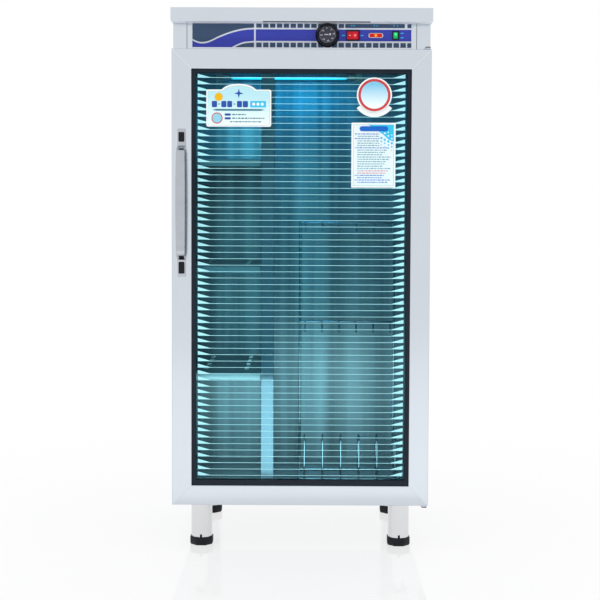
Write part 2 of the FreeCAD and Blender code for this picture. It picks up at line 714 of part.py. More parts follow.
def rocker_switch(x, angle, radius, half_across, rise, bezel, cutout):
    """A switch housing and its rocker, turned together by angle on the fascia."""
    floor = PIVOT_DEPTH + 4 + radius * math.sin(math.radians(ROCKER_TILT)) + GAP
    wide, tall = bezel[0] / 2, bezel[1] / 2
    frame = block(-wide, wide, -BEZEL_THICK, 0, -tall, tall)
    body = block(-cutout[0] / 2, cutout[0] / 2, 0, floor + 2, -cutout[1] / 2, cutout[1] / 2)
    across = half_across + GAP
    hollow = block(-radius - GAP, radius + GAP, -BEZEL_THICK, floor, -across, across)
    hole_radius = ROCKER_PIN + RUNNING_CLEARANCE
    pivot_hole = rod((0, PIVOT_DEPTH, -across - 1), (0, PIVOT_DEPTH, across + 1), hole_radius)
    housing = fused([frame, body]).cut(fused([hollow, pivot_hole]))
    lip = math.sqrt(radius ** 2 - (PIVOT_DEPTH + rise) ** 2)
    foot_half = math.sqrt(radius ** 2 - 4 ** 2)
    profile = [(-lip, -rise), (0, 1.5 - rise), (lip, -rise), (radius, PIVOT_DEPTH),
               (foot_half, PIVOT_DEPTH + 4), (-foot_half, PIVOT_DEPTH + 4), (-radius, PIVOT_DEPTH)]
    paddle = prism("Z", profile, 0, -half_across, half_across)
    flats = ROCKER_PIN * math.cos(math.pi / 12)
    pin = bar([(0, PIVOT_DEPTH, -across - 0.7), (0, PIVOT_DEPTH, across + 0.7)], flats, 12)
    paddle = fused([paddle, pin])
    paddle.rotate(V(0, PIVOT_DEPTH, 0), V(0, 0, 1), -ROCKER_TILT)
    for piece in (housing, paddle):
        piece.rotate(V(0, 0, 0), V(0, 1, 0), angle)
        piece.translate(V(x, Y_OVERLAY, CONTROL_Z))
    return housing, paddle


def pilot_lamp():
    """The pilot lamp's bezel with its body, and its lens."""
    wide, high = PILOT_CUTOUT[0] / 2, PILOT_CUTOUT[1] / 2
    x0, x1, z0, z1 = PILOT_X - wide, PILOT_X + wide, CONTROL_Z - high, CONTROL_Z + high
    bezel = prism("Y", clipped(x0 - 3, x1 + 3, z0 - 1.3, z1 + 1.3, 2.5), 0, Y_OVERLAY - 3, Y_OVERLAY)
    body = block(x0, x1, Y_OVERLAY, Y_OVERLAY + 18, z0, z1)
    lens = block(x0 + 1, x1 - 1, Y_OVERLAY - 4, Y_OVERLAY + 6, z0 + 1, z1 - 1)
    housing = fused([bezel, body]).cut(lens)
    front = [e for e in lens.Edges if e.BoundBox.YMax < Y_OVERLAY - 3.9]
    return housing, lens.makeChamfer(0.8, front)


def timer_mechanism():
    """The wind-up timer behind the fascia, with the neck that its shaft turns in."""
    behind = Y_BODY + SHEET
    case = block(DIAL_X - 23, DIAL_X + 23, behind, behind + 28, CONTROL_Z - 23, CONTROL_Z + 23)
    neck = rod((DIAL_X, Y_OVERLAY - 0.4, CONTROL_Z), (DIAL_X, behind, CONTROL_Z), TIMER_NECK)
    clear = SHAFT_RADIUS + RUNNING_CLEARANCE
    bore = rod((DIAL_X, Y_OVERLAY - 1, CONTROL_Z), (DIAL_X, behind + 24, CONTROL_Z), clear)
    return fused([case, neck]).cut(bore)


def timer_knob():
    """The dial knob and its shaft: a recessed face, a rim and a skirt that flares in small flats."""
    back = Y_OVERLAY - 0.8
    front = back - DIAL_HEIGHT
    shaft_end = Y_BODY + SHEET + 22
    rims = []
    for y, radius in ((front, DIAL_RIM), (back, DIAL_RADIUS)):
        points = []
        for i in range(DIAL_FLATS + 1):
            turn = 2 * math.pi * (i + 0.5) / DIAL_FLATS
            points.append(V(DIAL_X + radius * math.cos(turn), y, CONTROL_Z + radius * math.sin(turn)))
        rims.append(Part.makePolygon(points))
    skirt = Part.makeLoft(rims, True, True)
    recess = bar([(DIAL_X, front - 1, CONTROL_Z), (DIAL_X, front + 2, CONTROL_Z)], DIAL_FACE, DIAL_FLATS)
    shaft = rod((DIAL_X, back, CONTROL_Z), (DIAL_X, shaft_end, CONTROL_Z), SHAFT_RADIUS)
    return fused([skirt.cut(recess), shaft])


def lamp_pins():
    """The contact pins at both ends of the lamp."""
    pins = []
    for x0, x1 in ((LAMP_X[0] - 7, LAMP_X[0]), (LAMP_X[1], LAMP_X[1] + 7)):
        for z in (LAMP_Z - LAMP_PIN_SPACE / 2, LAMP_Z + LAMP_PIN_SPACE / 2):
            pins.append(block(x0, x1, LAMP_Y - LAMP_PIN, LAMP_Y + LAMP_PIN, z - LAMP_PIN, z + LAMP_PIN))
    return pins


def uv_lamp():
    """The germicidal tube with its contact pins."""
    x0, x1 = LAMP_X
    tube = rod((x0, LAMP_Y, LAMP_Z), (x1, LAMP_Y, LAMP_Z), LAMP_RADIUS)
    return fused([tube] + lamp_pins())


def lamp_holders():
    """The two sockets that hang from the ceiling."""
    holders = []
    for x0, x1 in ((LAMP_X[0] - 16, LAMP_X[0]), (LAMP_X[1], LAMP_X[1] + 16)):
        chin = clipped(LAMP_Y - 16, LAMP_Y + 16, LAMP_Z - 16, CEILING, 7)
        points = chin[:3] + [(LAMP_Y + 16, CEILING), (LAMP_Y - 16, CEILING), chin[7]]
        holders.append(prism("X", points, 0, x0, x1))
    return Part.makeCompound(holders).cut(Part.makeCompound(lamp_pins()))


def lamp_reflector():
    """The bright folded sheet above the lamp."""
    top, edge = CEILING - SHEET, CEILING - 16
    path = [(LAMP_Y - 42, edge), (LAMP_Y - 20, top), (LAMP_Y + 20, top), (LAMP_Y + 42, edge)]
    return bent_sheet("X", path, LAMP_X[0] + 8, LAMP_X[1] - 8, [0, 0])


def lamp_ballast():
    """The wire-wound ballast on the compartment floor."""
    z = CEILING + SHEET
    core = block(-140, -20, 40, 80, z, z + 32)
    feet = block(-160, 0, 50, 70, z, z + 1.5)
    return fused([core, feet])


def lamp_starter():
    """The glow starter standing in its base."""
    z = CEILING + SHEET
    base = block(-214, -186, 46, 74, z, z + 8)
    return fused([base, bar([(-200, 60, z + 8), (-200, 60, z + 42)], STARTER_RADIUS, 12)])


def terminal_block():
    """A row of screw terminals."""
    z = CEILING + SHEET
    strip = block(60, 132, 120, 138, z, z + 14)
    wells = [block(63 + 12 * i, 69 + 12 * i, 126, 132, z + 6, z + 16) for i in range(6)]
    return strip.cut(Part.makeCompound(wells))


def door_switch_body():
    """The switch behind the left post, bored for its plunger."""
    inner = POST_WIDTH - 2 * SHEET - BODY_WIDTH / 2
    front = Y_BODY + SHEET
    case = block(inner - 10, inner, front, front + 22, SWITCH_Z - 15, SWITCH_Z + 15)
    guide = PLUNGER_RADIUS + 2 * RUNNING_CLEARANCE
    bore = rod((SWITCH_X, front - 1, SWITCH_Z), (SWITCH_X, front + 16, SWITCH_Z), guide)
    return case.cut(bore)


def door_switch_plunger():
    """The plunger that the closed door all but touches."""
    tip = Y_DOOR + DOOR_THICK + 0.4
    return rod((SWITCH_X, tip, SWITCH_Z), (SWITCH_X, Y_BODY + SHEET + 12, SWITCH_Z), PLUNGER_RADIUS)


def cord_gland():
    """The plastic gland in the cord hole: a six-sided head outside, a six-sided nut inside."""
    inside = Y_BACK - SHEET - GLAND_NUT
    outside = Y_BACK + GLAND_HEAD
    head = bar([(CORD_X, Y_BACK, CORD_Z), (CORD_X, outside, CORD_Z)], GLAND_NECK + 2)
    nut = bar([(CORD_X, inside, CORD_Z), (CORD_X, Y_BACK - SHEET, CORD_Z)], GLAND_NECK + 2)
    neck = bar([(CORD_X, inside, CORD_Z), (CORD_X, outside, CORD_Z)], GLAND_NECK * math.cos(math.pi / 6))
    bore = rod((CORD_X, inside - 1, CORD_Z), (CORD_X, outside + 1, CORD_Z), CORD_BORE)
    return fused([neck, head, nut]).cut(bore)


def service_cover():
    """The vented cover over the service opening: a flange and a raised pan with slots."""
    z0, z1 = COVER_Z
    flange = block(-COVER_HALF, COVER_HALF, Y_BACK, Y_BACK + SHEET, z0, z1)
    half, low, high = COVER_HALF - COVER_FLANGE[0], z0 + COVER_FLANGE[1], z1 - COVER_FLANGE[1]
    pan = block(-half, half, Y_BACK, Y_BACK + COVER_DEPTH, low, high)
    cuts = [block(SHEET - half, half - SHEET, Y_BACK - 1, Y_BACK + COVER_DEPTH - SHEET,
                  low + SHEET, high - SHEET)]
    for column in range(VENT_SLOTS):
        x = (column - (VENT_SLOTS - 1) / 2) * VENT_PITCH
        cuts.append(block(x - 3, x + 3, Y_BACK, Y_BACK + COVER_DEPTH + 1, low + 12, high - 12))
    return fused([flange, pan]).cut(Part.makeCompound(cuts))


def build():
    """Every piece by its name."""
    main_housing, main_rocker = rocker_switch(MAIN_SWITCH_X, 0, 14.2, 9.4, 3.8, MAIN_BEZEL, MAIN_CUTOUT)
    lamp_housing, lamp_rocker = rocker_switch(LAMP_SWITCH_X, 90, 8.3, 5.2, 2.6, LAMP_BEZEL, LAMP_CUTOUT[::-1])
    pilot_body, pilot_lens = pilot_lamp()
    pieces = {
        "left_side_panel": left_side_panel(), "right_side_panel": right_side_panel(),
        "back_panel": back_panel(), "chamber_wall_left": chamber_wall_left(),
        "chamber_wall_right": chamber_wall_right(), "chamber_back": chamber_back(),
        "chamber_floor": chamber_floor(), "chamber_ceiling": chamber_ceiling(), "base_pan": base_pan(),
        "top_cover": top_cover(), "control_fascia": control_fascia(),
        "control_overlay": control_overlay(), "divider_panel": divider_panel(),
        "shelf_rails": shelf_rails(), "leg_inserts": leg_inserts(),
        "hinge_bracket_top": hinge_bracket_top(), "hinge_bracket_bottom": hinge_bracket_bottom(),
        "hinge_pins": hinge_pins(), "hinge_bushes": hinge_bushes(), "uv_lamp": uv_lamp(),
        "lamp_holders": lamp_holders(), "lamp_reflector": lamp_reflector(),
        "lamp_ballast": lamp_ballast(), "lamp_starter": lamp_starter(),
        "terminal_block": terminal_block(), "timer_mechanism": timer_mechanism(),
        "timer_knob": timer_knob(), "main_switch_housing": main_housing, "main_rocker": main_rocker,
        "lamp_switch_housing": lamp_housing, "lamp_rocker": lamp_rocker, "pilot_lamp_body": pilot_body,
        "pilot_lamp_lens": pilot_lens, "door_switch_body": door_switch_body(),
        "door_switch_plunger": door_switch_plunger(), "cord_gland": cord_gland(),
        "service_cover": service_cover(), "door_stile_left": door_stile_left(),
        "door_stile_right": door_stile_right(), "door_rail_top": door_rail_top(),
        "door_rail_bottom": door_rail_bottom(), "door_glass": door_glass(),
        "glazing_gasket": glazing_gasket(), "door_seal": door_seal(), "door_handle": door_handle(),
        "handle_caps": handle_caps(), "rack_base": rack_base(), "rack_back": rack_back(),
    }
    for name, top in SHELF_TOPS.items():
        pieces["shelf_" + name] = shelf(top)
    for row, y in zip(("front", "rear"), LEG_Y):
        for side, x in (("left", -LEG_X), ("right", LEG_X)):
            pieces["leg_" + row + "_" + side] = leg(x, y)
            pieces["foot_" + row + "_" + side] = foot(x, y)
    return pieces


def main():
    """Write one STEP file for each piece."""
    os.makedirs("parts", exist_ok=True)
    for name, shape in build().items():
        if not shape.isValid() or not shape.Solids:
            raise ValueError(name + " is not a valid solid")
        shape.exportStep("parts/" + name + ".step")


main()
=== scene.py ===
import logging
import math
from dataclasses import dataclass
from enum import Enum
from typing import Iterable, Sequence

import bmesh
import bpy
from mathutils import Matrix, Vector
from mathutils.geometry import interpolate_bezier


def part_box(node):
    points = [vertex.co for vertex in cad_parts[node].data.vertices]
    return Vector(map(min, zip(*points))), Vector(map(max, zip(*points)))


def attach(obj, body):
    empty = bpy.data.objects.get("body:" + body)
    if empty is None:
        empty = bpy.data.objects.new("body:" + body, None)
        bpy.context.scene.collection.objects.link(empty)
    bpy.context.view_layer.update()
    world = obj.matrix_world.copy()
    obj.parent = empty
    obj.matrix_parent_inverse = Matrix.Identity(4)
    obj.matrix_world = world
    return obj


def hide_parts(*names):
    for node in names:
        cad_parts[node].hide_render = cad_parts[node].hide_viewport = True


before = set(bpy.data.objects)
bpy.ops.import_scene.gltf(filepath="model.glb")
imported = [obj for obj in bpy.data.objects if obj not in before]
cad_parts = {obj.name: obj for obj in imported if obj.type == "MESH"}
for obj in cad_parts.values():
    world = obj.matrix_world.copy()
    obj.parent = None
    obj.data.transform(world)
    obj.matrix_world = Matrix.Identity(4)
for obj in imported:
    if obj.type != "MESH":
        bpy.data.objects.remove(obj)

log = logging.getLogger("cabinet")

MM = 0.001
Spot = tuple[float, float]
Point = tuple[float, float, float]
Tone = tuple[int, int, int]

# The cabinet's planes, in millimetres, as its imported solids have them
Y_DOOR = -213.0
Y_BODY = -173.0
Y_FILM = -173.6
Y_BACK = 247.0
CONTROL_Z = 1230.0

# How near two vertices count as one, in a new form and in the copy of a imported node
NEAR = 0.001
NEAR_PACKED = 0.005


class Axis(Enum):
    """A direction of the cabinet: across, deep or up."""

    X = "X"
    Y = "Y"
    Z = "Z"

    def turn(self) -> Matrix:
        """The rotation that brings the upward direction to this axis.

        Returns:
            The rotation's matrix.
        """
        if self is Axis.X:
            return Matrix.Rotation(math.pi / 2, 4, "Y")
        if self is Axis.Y:
            return Matrix.Rotation(-math.pi / 2, 4, "X")
        return Matrix.Identity(4)

    def place(self, a: float, b: float, level: float) -> Point:
        """A point of a flat outline that lies square to this axis."""
        return {"X": (level, a, b), "Y": (a, level, b), "Z": (a, b, level)}[self.value]


@dataclass(frozen=True)
class Span:
    """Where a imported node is, in millimetres."""

    low: Vector
    high: Vector

    @classmethod
    def of(cls, node: str) -> "Span":
        """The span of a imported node."""
        low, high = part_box(node)
        return cls(low / MM, high / MM)

    @property
    def middle(self) -> Vector:
        """The centre of the span."""
        return (self.low + self.high) / 2


# Shapes


class Form:
    """A closed shape in the making, in millimetres, in the cabinet's own frame."""

    def __init__(self) -> None:
        """Start with nothing in it."""
        self.bm = bmesh.new()

    def moved(self, matrix: Matrix) -> "Form":
        """The same shape, moved by a matrix."""
        bmesh.ops.transform(self.bm, matrix=matrix, verts=self.bm.verts)
        return self

    def shifted(self, x: float = 0, y: float = 0, z: float = 0) -> "Form":
        """The same shape, moved along the axes."""
        return self.moved(Matrix.Translation((x, y, z)))

    def tidied(self) -> "Form":
        """The same shape with its doubles merged and its faces outwards.

        Returns:
            The same form.
        """
        bmesh.ops.remove_doubles(self.bm, verts=self.bm.verts, dist=NEAR)
        bmesh.ops.recalc_face_normals(self.bm, faces=self.bm.faces)
        return self

    def eased(self, width: float, steps: int = 2, angle: float = 30) -> "Form":
        """The same shape with its sharp edges rounded.

        Args:
            width: how far the rounding reaches from each edge.
            steps: how many facets it has.
            angle: the least angle between two faces that counts as sharp.

        Returns:
            The same form.
        """
        edges = [e for e in self.bm.edges if e.calc_face_angle(0) > math.radians(angle)]
        bmesh.ops.bevel(self.bm, geom=edges, offset=width, offset_type="OFFSET", segments=steps, profile=0.5,
                        affect="EDGES", clamp_overlap=True, material=-1)
        return self

    def piece(self, name: str, body: str, slot: str, finish: "Finish", *replaced: str, ease: float = 0,
              rounds: int = 0, crease: float = 35) -> bpy.types.Object:
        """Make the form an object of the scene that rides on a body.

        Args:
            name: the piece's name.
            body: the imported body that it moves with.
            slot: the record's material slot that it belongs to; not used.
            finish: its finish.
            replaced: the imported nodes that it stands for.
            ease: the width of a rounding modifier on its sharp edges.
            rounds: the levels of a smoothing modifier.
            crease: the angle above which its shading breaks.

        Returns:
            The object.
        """
        self.moved(Matrix.Scale(MM, 4))
        mesh = bpy.data.meshes.new(name)
        self.bm.to_mesh(mesh)
        self.bm.free()
        mesh.polygons.foreach_set("use_smooth", [True] * len(mesh.polygons))
        mesh.set_sharp_from_angle(angle=math.radians(crease))
        made = bpy.data.objects.new(name, mesh)
        bpy.context.scene.collection.objects.link(made)
        if ease:
            bevel = made.modifiers.new("Ease", "BEVEL")
            bevel.width = ease * MM
            bevel.segments = 2
            bevel.limit_method = "ANGLE"
            bevel.harden_normals = True
        if rounds:
            smooth = made.modifiers.new("Smooth", "SUBSURF")
            smooth.levels = smooth.render_levels = rounds
        made.data.materials.append(finish.material())
        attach(made, body)
        if replaced:
            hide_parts(*replaced)
        log.info("%s on %s: %d faces", name, body, len(mesh.polygons))
        return made


def joined(forms: Iterable[Form]) -> Form:
    """One form from several.

    Args:
        forms: the forms, which are used up.

    Returns:
        The form that holds them all.
    """
    whole = Form()
    for form in forms:
        part = bpy.data.meshes.new("part")
        form.bm.to_mesh(part)
        form.bm.free()
        whole.bm.from_mesh(part)
        bpy.data.meshes.remove(part)
    return whole


def copied(node: str) -> Form:
    """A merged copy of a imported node, with its flat faces made whole.

    Args:
        node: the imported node's name.

    Returns:
        The copy.
    """
    form = Form()
    form.bm.from_mesh(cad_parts[node].data)
    form.moved(Matrix.Scale(1 / MM, 4))
    bmesh.ops.remove_doubles(form.bm, verts=form.bm.verts, dist=NEAR_PACKED)
    bmesh.ops.dissolve_limit(form.bm, angle_limit=math.radians(1), verts=form.bm.verts, edges=form.bm.edges)
    return form


def dressed(node: str, name: str, slot: str, finish: "Finish", ease: float = 0,
            body: str = "cabinet") -> bpy.types.Object:
    """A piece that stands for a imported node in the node's own shape, with its edges eased."""
    return copied(node).piece(name, body, slot, finish, node, ease=ease)


def block(low: Sequence[float], high: Sequence[float], ease: float = 0, steps: int = 2) -> Form:
    """A box between two corners.

    Args:
        low: its lower corner.
        high: its upper corner.
        ease: how far the rounding of its edges reaches.
        steps: how many facets the rounding has.

    Returns:
        The box.
    """
    form = Form()
    low, high = Vector(low), Vector(high)
    at = Matrix.Translation((low + high) / 2) @ Matrix.Diagonal((*(high - low), 1))
    bmesh.ops.create_cube(form.bm, size=1, matrix=at)
    return form.eased(ease, steps) if ease else form


def turned(profile: Sequence[Spot], at: Point, axis: Axis = Axis.Z, steps: int = 48) -> Form:
    """A shape turned on a lathe.

    Args:
        profile: radius and place along the axis, from one end to the other.
        at: where the profile's zero lies.
        axis: the lathe's axis.
        steps: how many flats go round.

    Returns:
        The turned form.
    """
    form = Form()
    verts = [form.bm.verts.new((radius, 0, along)) for radius, along in profile]
    edges = [form.bm.edges.new(pair) for pair in zip(verts, verts[1:])]
    bmesh.ops.spin(form.bm, geom=verts + edges, cent=(0, 0, 0), axis=(0, 0, 1), dvec=(0, 0, 0),
                   angle=2 * math.pi, steps=steps, use_merge=True, use_duplicate=False)
    return form.tidied().moved(Matrix.Translation(at) @ axis.turn())


def plate(outline: Sequence[Spot], axis: Axis, low: float, high: float, ease: float = 0,
          steps: int = 2) -> Form:
    """A flat outline carried along an axis.

    Args:
        outline: its spots, on the two other axes.
        axis: the axis that it is carried along.
        low: where it starts.
        high: where it ends.
        ease: how far the rounding of its edges reaches.
        steps: how many facets the rounding has.

    Returns:
        The plate.
    """
    form = Form()
    face = form.bm.faces.new([form.bm.verts.new(axis.place(a, b, low)) for a, b in outline])
    made = bmesh.ops.extrude_face_region(form.bm, geom=[face], use_keep_orig=True)["geom"]
    verts = [item for item in made if isinstance(item, bmesh.types.BMVert)]
    bmesh.ops.translate(form.bm, vec=axis.place(0, 0, high - low), verts=verts)
    form.tidied()
    return form.eased(ease, steps) if ease else form


def surround(outer: Sequence[float], inner: Sequence[float], y0: float, y1: float) -> Form:
    """A rectangular ring that stands in the door's plane.

    Args:
        outer: its outer edges, as x from and to, then z from and to.
        inner: its inner edges, likewise.
        y0: its front.
        y1: its back.

    Returns:
        The ring.
    """
    form = Form()
    loops = []
    for x0, x1, z0, z1 in (outer, inner):
        verts = [form.bm.verts.new((x, y0, z)) for x, z in ((x0, z0), (x1, z0), (x1, z1), (x0, z1))]
        loops += [form.bm.edges.new(pair) for pair in zip(verts, verts[1:] + verts[:1])]
    border = bmesh.ops.bridge_loops(form.bm, edges=loops)["faces"]
    made = bmesh.ops.extrude_face_region(form.bm, geom=border, use_keep_orig=True)["geom"]
    verts = [item for item in made if isinstance(item, bmesh.types.BMVert)]
    bmesh.ops.translate(form.bm, vec=(0, y1 - y0, 0), verts=verts)
    return form.tidied()


def lofted(sections: Sequence[Sequence[Point]]) -> Form:
    """A skin over closed sections that follow one another, closed at both ends.

    Args:
        sections: the points of each section, as many in each.

    Returns:
        The skin.
    """
    form = Form()
    loops = []
    for section in sections:
        verts = [form.bm.verts.new(point) for point in section]
        loops.append([form.bm.edges.new(pair) for pair in zip(verts, verts[1:] + verts[:1])])
        if section is sections[0] or section is sections[-1]:
            form.bm.faces.new(verts)
    for near, far in zip(loops, loops[1:]):
        bmesh.ops.bridge_loops(form.bm, edges=near + far)
    return form.tidied()


def from_curve(curve: bpy.types.Curve) -> Form:
    """The mesh of a curve or a line of text.

    Args:
        curve: the curve, which is used up.

    Returns:
        Its form.
    """
    holder = bpy.data.objects.new("holder", curve)
    mesh = bpy.data.meshes.new_from_object(holder)
    form = Form()
    form.bm.from_mesh(mesh)
    bpy.data.objects.remove(holder)
    bpy.data.meshes.remove(mesh)
    bpy.data.curves.remove(curve)
    return form


def wires(routes: Iterable[Sequence[Point]], radius: float) -> Form:
    """Round wires with closed ends.

    Args:
        routes: the points along each wire.
        radius: the wires' radius.

    Returns:
        The wires in one form.
    """
    curve = bpy.data.curves.new("wire", "CURVE")
    curve.dimensions = "3D"
    curve.bevel_depth = radius
    curve.bevel_resolution = 3
    curve.use_fill_caps = True
    for route in routes:
        spline = curve.splines.new("POLY")
        spline.points.add(len(route) - 1)
        for point, place in zip(spline.points, route):
            point.co = (*place, 1)
    return from_curve(curve).tidied()


def lettering(words: str, size: float, depth: float) -> Form:
    """Plain characters, centred, that face upwards.

    Args:
        words: the characters.
        size: how high they are.
        depth: how thick they are.

    Returns:
        The characters in one form.
    """
    text = bpy.data.curves.new("text", "FONT")
    text.body = words
    text.size = size
    text.extrude = depth / 2
    text.align_x = "CENTER"
    text.align_y = "CENTER"
    return from_curve(text)


def rounded(a0: float, a1: float, b0: float, b1: float, radius: float, steps: int = 6) -> list[Spot]:
    """The outline of a rectangle with round corners.

    Args:
        a0: its lower edge on the first axis.
        a1: its upper edge on the first axis.
        b0: its lower edge on the second axis.
        b1: its upper edge on the second axis.
        radius: the radius of its corners.
        steps: how many facets a corner has.

    Returns:
        The outline's spots.
    """
    outline = []
    for a, b, start in ((a1, b1, 0), (a0, b1, 90), (a0, b0, 180), (a1, b0, 270)):
        middle_a = a - radius if a == a1 else a + radius
        middle_b = b - radius if b == b1 else b + radius
        for i in range(steps + 1):
            turn = math.radians(start + 90 * i / steps)
            outline.append((middle_a + radius * math.cos(turn), middle_b + radius * math.sin(turn)))
    return outline


def flowing(spots: Sequence[Spot], steps: int) -> list[Spot]:
    """A smooth line through a few spots.

    Args:
        spots: the spots that it passes.
        steps: how many parts it has between two of them.

    Returns:
        The line's spots.
    """
    knots = [Vector((a, b, 0)) for a, b in spots]
    ends = [knots[0]] + knots + [knots[-1]]
    line = [spots[0]]
    for i in range(1, len(knots)):
        lead = ends[i] + (ends[i + 1] - ends[i - 1]) / 6
        trail = ends[i + 1] - (ends[i + 2] - ends[i]) / 6
        line += [(p.x, p.y) for p in interpolate_bezier(ends[i], lead, trail, ends[i + 1], steps + 1)[1:]]
    return line


def arc(middle: Spot, radius: float, start: float, end: float, count: int) -> list[Spot]:
    """Spots along an arc, by angles in degrees."""
    turns = [math.radians(start + (end - start) * i / (count - 1)) for i in range(count)]
    return [(middle[0] + radius * math.cos(t), middle[1] + radius * math.sin(t)) for t in turns]


# Finishes


def linear(tone: Tone) -> tuple[float, float, float, float]:
    """A screen colour as the renderer counts it."""
    parts = [c / 255 for c in tone]
    return (*[c / 12.92 if c <= 0.04045 else ((c + 0.055) / 1.055) ** 2.4 for c in parts], 1.0)


class Sketch:
    """A material's node tree, with short calls for what the finishes use."""

    def __init__(self, name: str) -> None:
        """Start a material with no nodes but its coordinates.

        Args:
            name: the material's name.
        """
        self.material = bpy.data.materials.new(name)
        self.material.use_nodes = True
        self.tree = self.material.node_tree
        self.tree.nodes.clear()
        self.spots = self.node("TexCoord").outputs["Object"]

    def node(self, kind: str, inputs: dict | None = None, **settings: object) -> bpy.types.Node:
        """Add a node.

        Args:
            kind: its type, without the common first part.
            inputs: values or sockets by the input's name or number.
            settings: its other settings.

        Returns:
            The node.
        """
        made = self.tree.nodes.new("ShaderNode" + kind)
        for key, value in settings.items():
            setattr(made, key, value)
        for key, value in (inputs or {}).items():
            if isinstance(value, bpy.types.NodeSocket):
                self.tree.links.new(value, made.inputs[key])
            else:
                made.inputs[key].default_value = value
        return made

    def noise(self, scale: Point, detail: float = 3, roughness: float = 0.5) -> bpy.types.NodeSocket:
        """Noise on the object's own coordinates.

        Args:
            scale: how fine it is along each axis.
            detail: how many finer layers it has.
            roughness: how strong the finer layers are.

        Returns:
            Its value.
        """
        spots = self.node("Mapping", {"Vector": self.spots, "Scale": scale}).outputs[0]
        settings = {"Vector": spots, "Scale": 1.0, "Detail": detail, "Roughness": roughness}
        return self.node("TexNoise", settings).outputs["Fac"]

    def ball(self, middle: Point, reach: float) -> bpy.types.NodeSocket:
        """A value that falls from one at a place to zero at a reach from it.

        Args:
            middle: the place.
            reach: how far it reaches.

        Returns:
            The value.
        """
        place = tuple(c * MM for c in middle)
        away = self.node("VectorMath", {0: self.spots, 1: place}, operation="DISTANCE").outputs["Value"]
        return self.between(away, 0, reach * MM, 1, 0)

    def between(self, value: bpy.types.NodeSocket, a: float, b: float, low: float,
                high: float) -> bpy.types.NodeSocket:
        """A value's stretch from a to b brought to the one from low to high."""
        return self.node("MapRange", {"Value": value, 1: a, 2: b, 3: low, 4: high}).outputs[0]

    def rough(self, noise: bpy.types.NodeSocket, low: float, high: float) -> bpy.types.NodeSocket:
        """A roughness from low to high, as noise goes through the stretch that it mostly fills."""
        return self.between(noise, 0.3, 0.7, low, high)

    def blend(self, share: bpy.types.NodeSocket, first: Tone | bpy.types.NodeSocket,
              second: Tone) -> bpy.types.NodeSocket:
        """A colour between two, by a share."""
        start = first if isinstance(first, bpy.types.NodeSocket) else linear(first)
        return self.node("Mix", {0: share, 6: start, 7: linear(second)}, data_type="RGBA").outputs[2]

    def bump(self, height: bpy.types.NodeSocket, strength: float, depth: float) -> bpy.types.NodeSocket:
        """A surface normal from a height, with its depth in millimetres."""
        made = self.node("Bump", {"Height": height, "Strength": strength, "Distance": depth * MM})
        return made.outputs[0]

    def shader(self, **inputs: object) -> bpy.types.NodeSocket:
        """A principled shader, its inputs named with underscores for spaces."""
        named = {key.replace("_", " "): value for key, value in inputs.items()}
        return self.node("BsdfPrincipled", named).outputs[0]

    def done(self, surface: bpy.types.NodeSocket) -> bpy.types.Material:
        """Set the surface and give the material."""
        self.node("OutputMaterial", {"Surface": surface})
        return self.material


@dataclass(frozen=True)
class Finish:
    """A surface finish, made into a material once."""

    name: str
    tone: Tone

    def material(self) -> bpy.types.Material:
        """The finish's material."""
        return bpy.data.materials.get(self.name) or self.painted(Sketch(self.name))

    def painted(self, sketch: Sketch) -> bpy.types.Material:
        """Draw the finish's nodes in a sketch, which each kind of finish does in its own way."""
        raise NotImplementedError

    def darker(self, share: float) -> Tone:
        """The finish's tone, darkened."""
        return tuple(int(c * share) for c in self.tone)


@dataclass(frozen=True)
class Satin(Finish):
    """Satin sheet steel: fine rolled grain along one axis, faint clouding, a soft sheen and, where set, broad
    darker stripes of painted reflection.
    """

    grain: Axis = Axis.Z
    rough: float = 0.17
    metal: float = 1.0
    painted_reflection: float = 0.0

    def stretched(self, along: float, across: float) -> Point:
        """Scales for noise that runs with the grain."""
        return tuple(along if axis is self.grain else across for axis in Axis)

    def painted(self, sketch: Sketch) -> bpy.types.Material:
        """Draw the grain, the clouding and the broad darker stripes of painted reflection.

        Args:
            sketch: the material in the making.

        Returns:
            The material.
        """
        grain = sketch.noise(self.stretched(9.0, 1400.0), 2, 0.6)
        clouds = sketch.noise((3.1, 3.1, 3.1), 4, 0.55)
        tone = sketch.blend(clouds, self.darker(0.97), self.tone)
        # Broad darker stripes along the grain, where set: painted reflection.
        if self.painted_reflection:
            broad = sketch.noise(self.stretched(0.4, 17.0), 3, 0.55)
            share = sketch.between(broad, 0.38, 0.62, 0, 1)
            tone = sketch.blend(share, tone, self.darker(1 - self.painted_reflection))
        return sketch.done(sketch.shader(Base_Color=tone, Metallic=self.metal,
                                         Roughness=sketch.rough(grain, self.rough - 0.03, self.rough + 0.05),
                                         Normal=sketch.bump(grain, 0.06, 0.02)))


@dataclass(frozen=True)
class Bright(Finish):
    """Plated or polished metal with a faint wave and smudges."""

    rough: float = 0.07

    def painted(self, sketch: Sketch) -> bpy.types.Material:
        """Draw the wave and the smudges.

        Args:
            sketch: the material in the making.

        Returns:
            The material.
        """
        smudges = sketch.noise((38, 38, 38), 4, 0.6)
        wave = sketch.noise((90, 90, 40), 1, 0.4)
        tone = sketch.blend(smudges, self.darker(0.93), self.tone)
        rough = sketch.between(smudges, 0.35, 0.75, self.rough, self.rough + 0.09)
        return sketch.done(sketch.shader(Base_Color=tone, Metallic=1.0, Roughness=rough,
                                         Normal=sketch.bump(wave, 0.1, 0.05)))


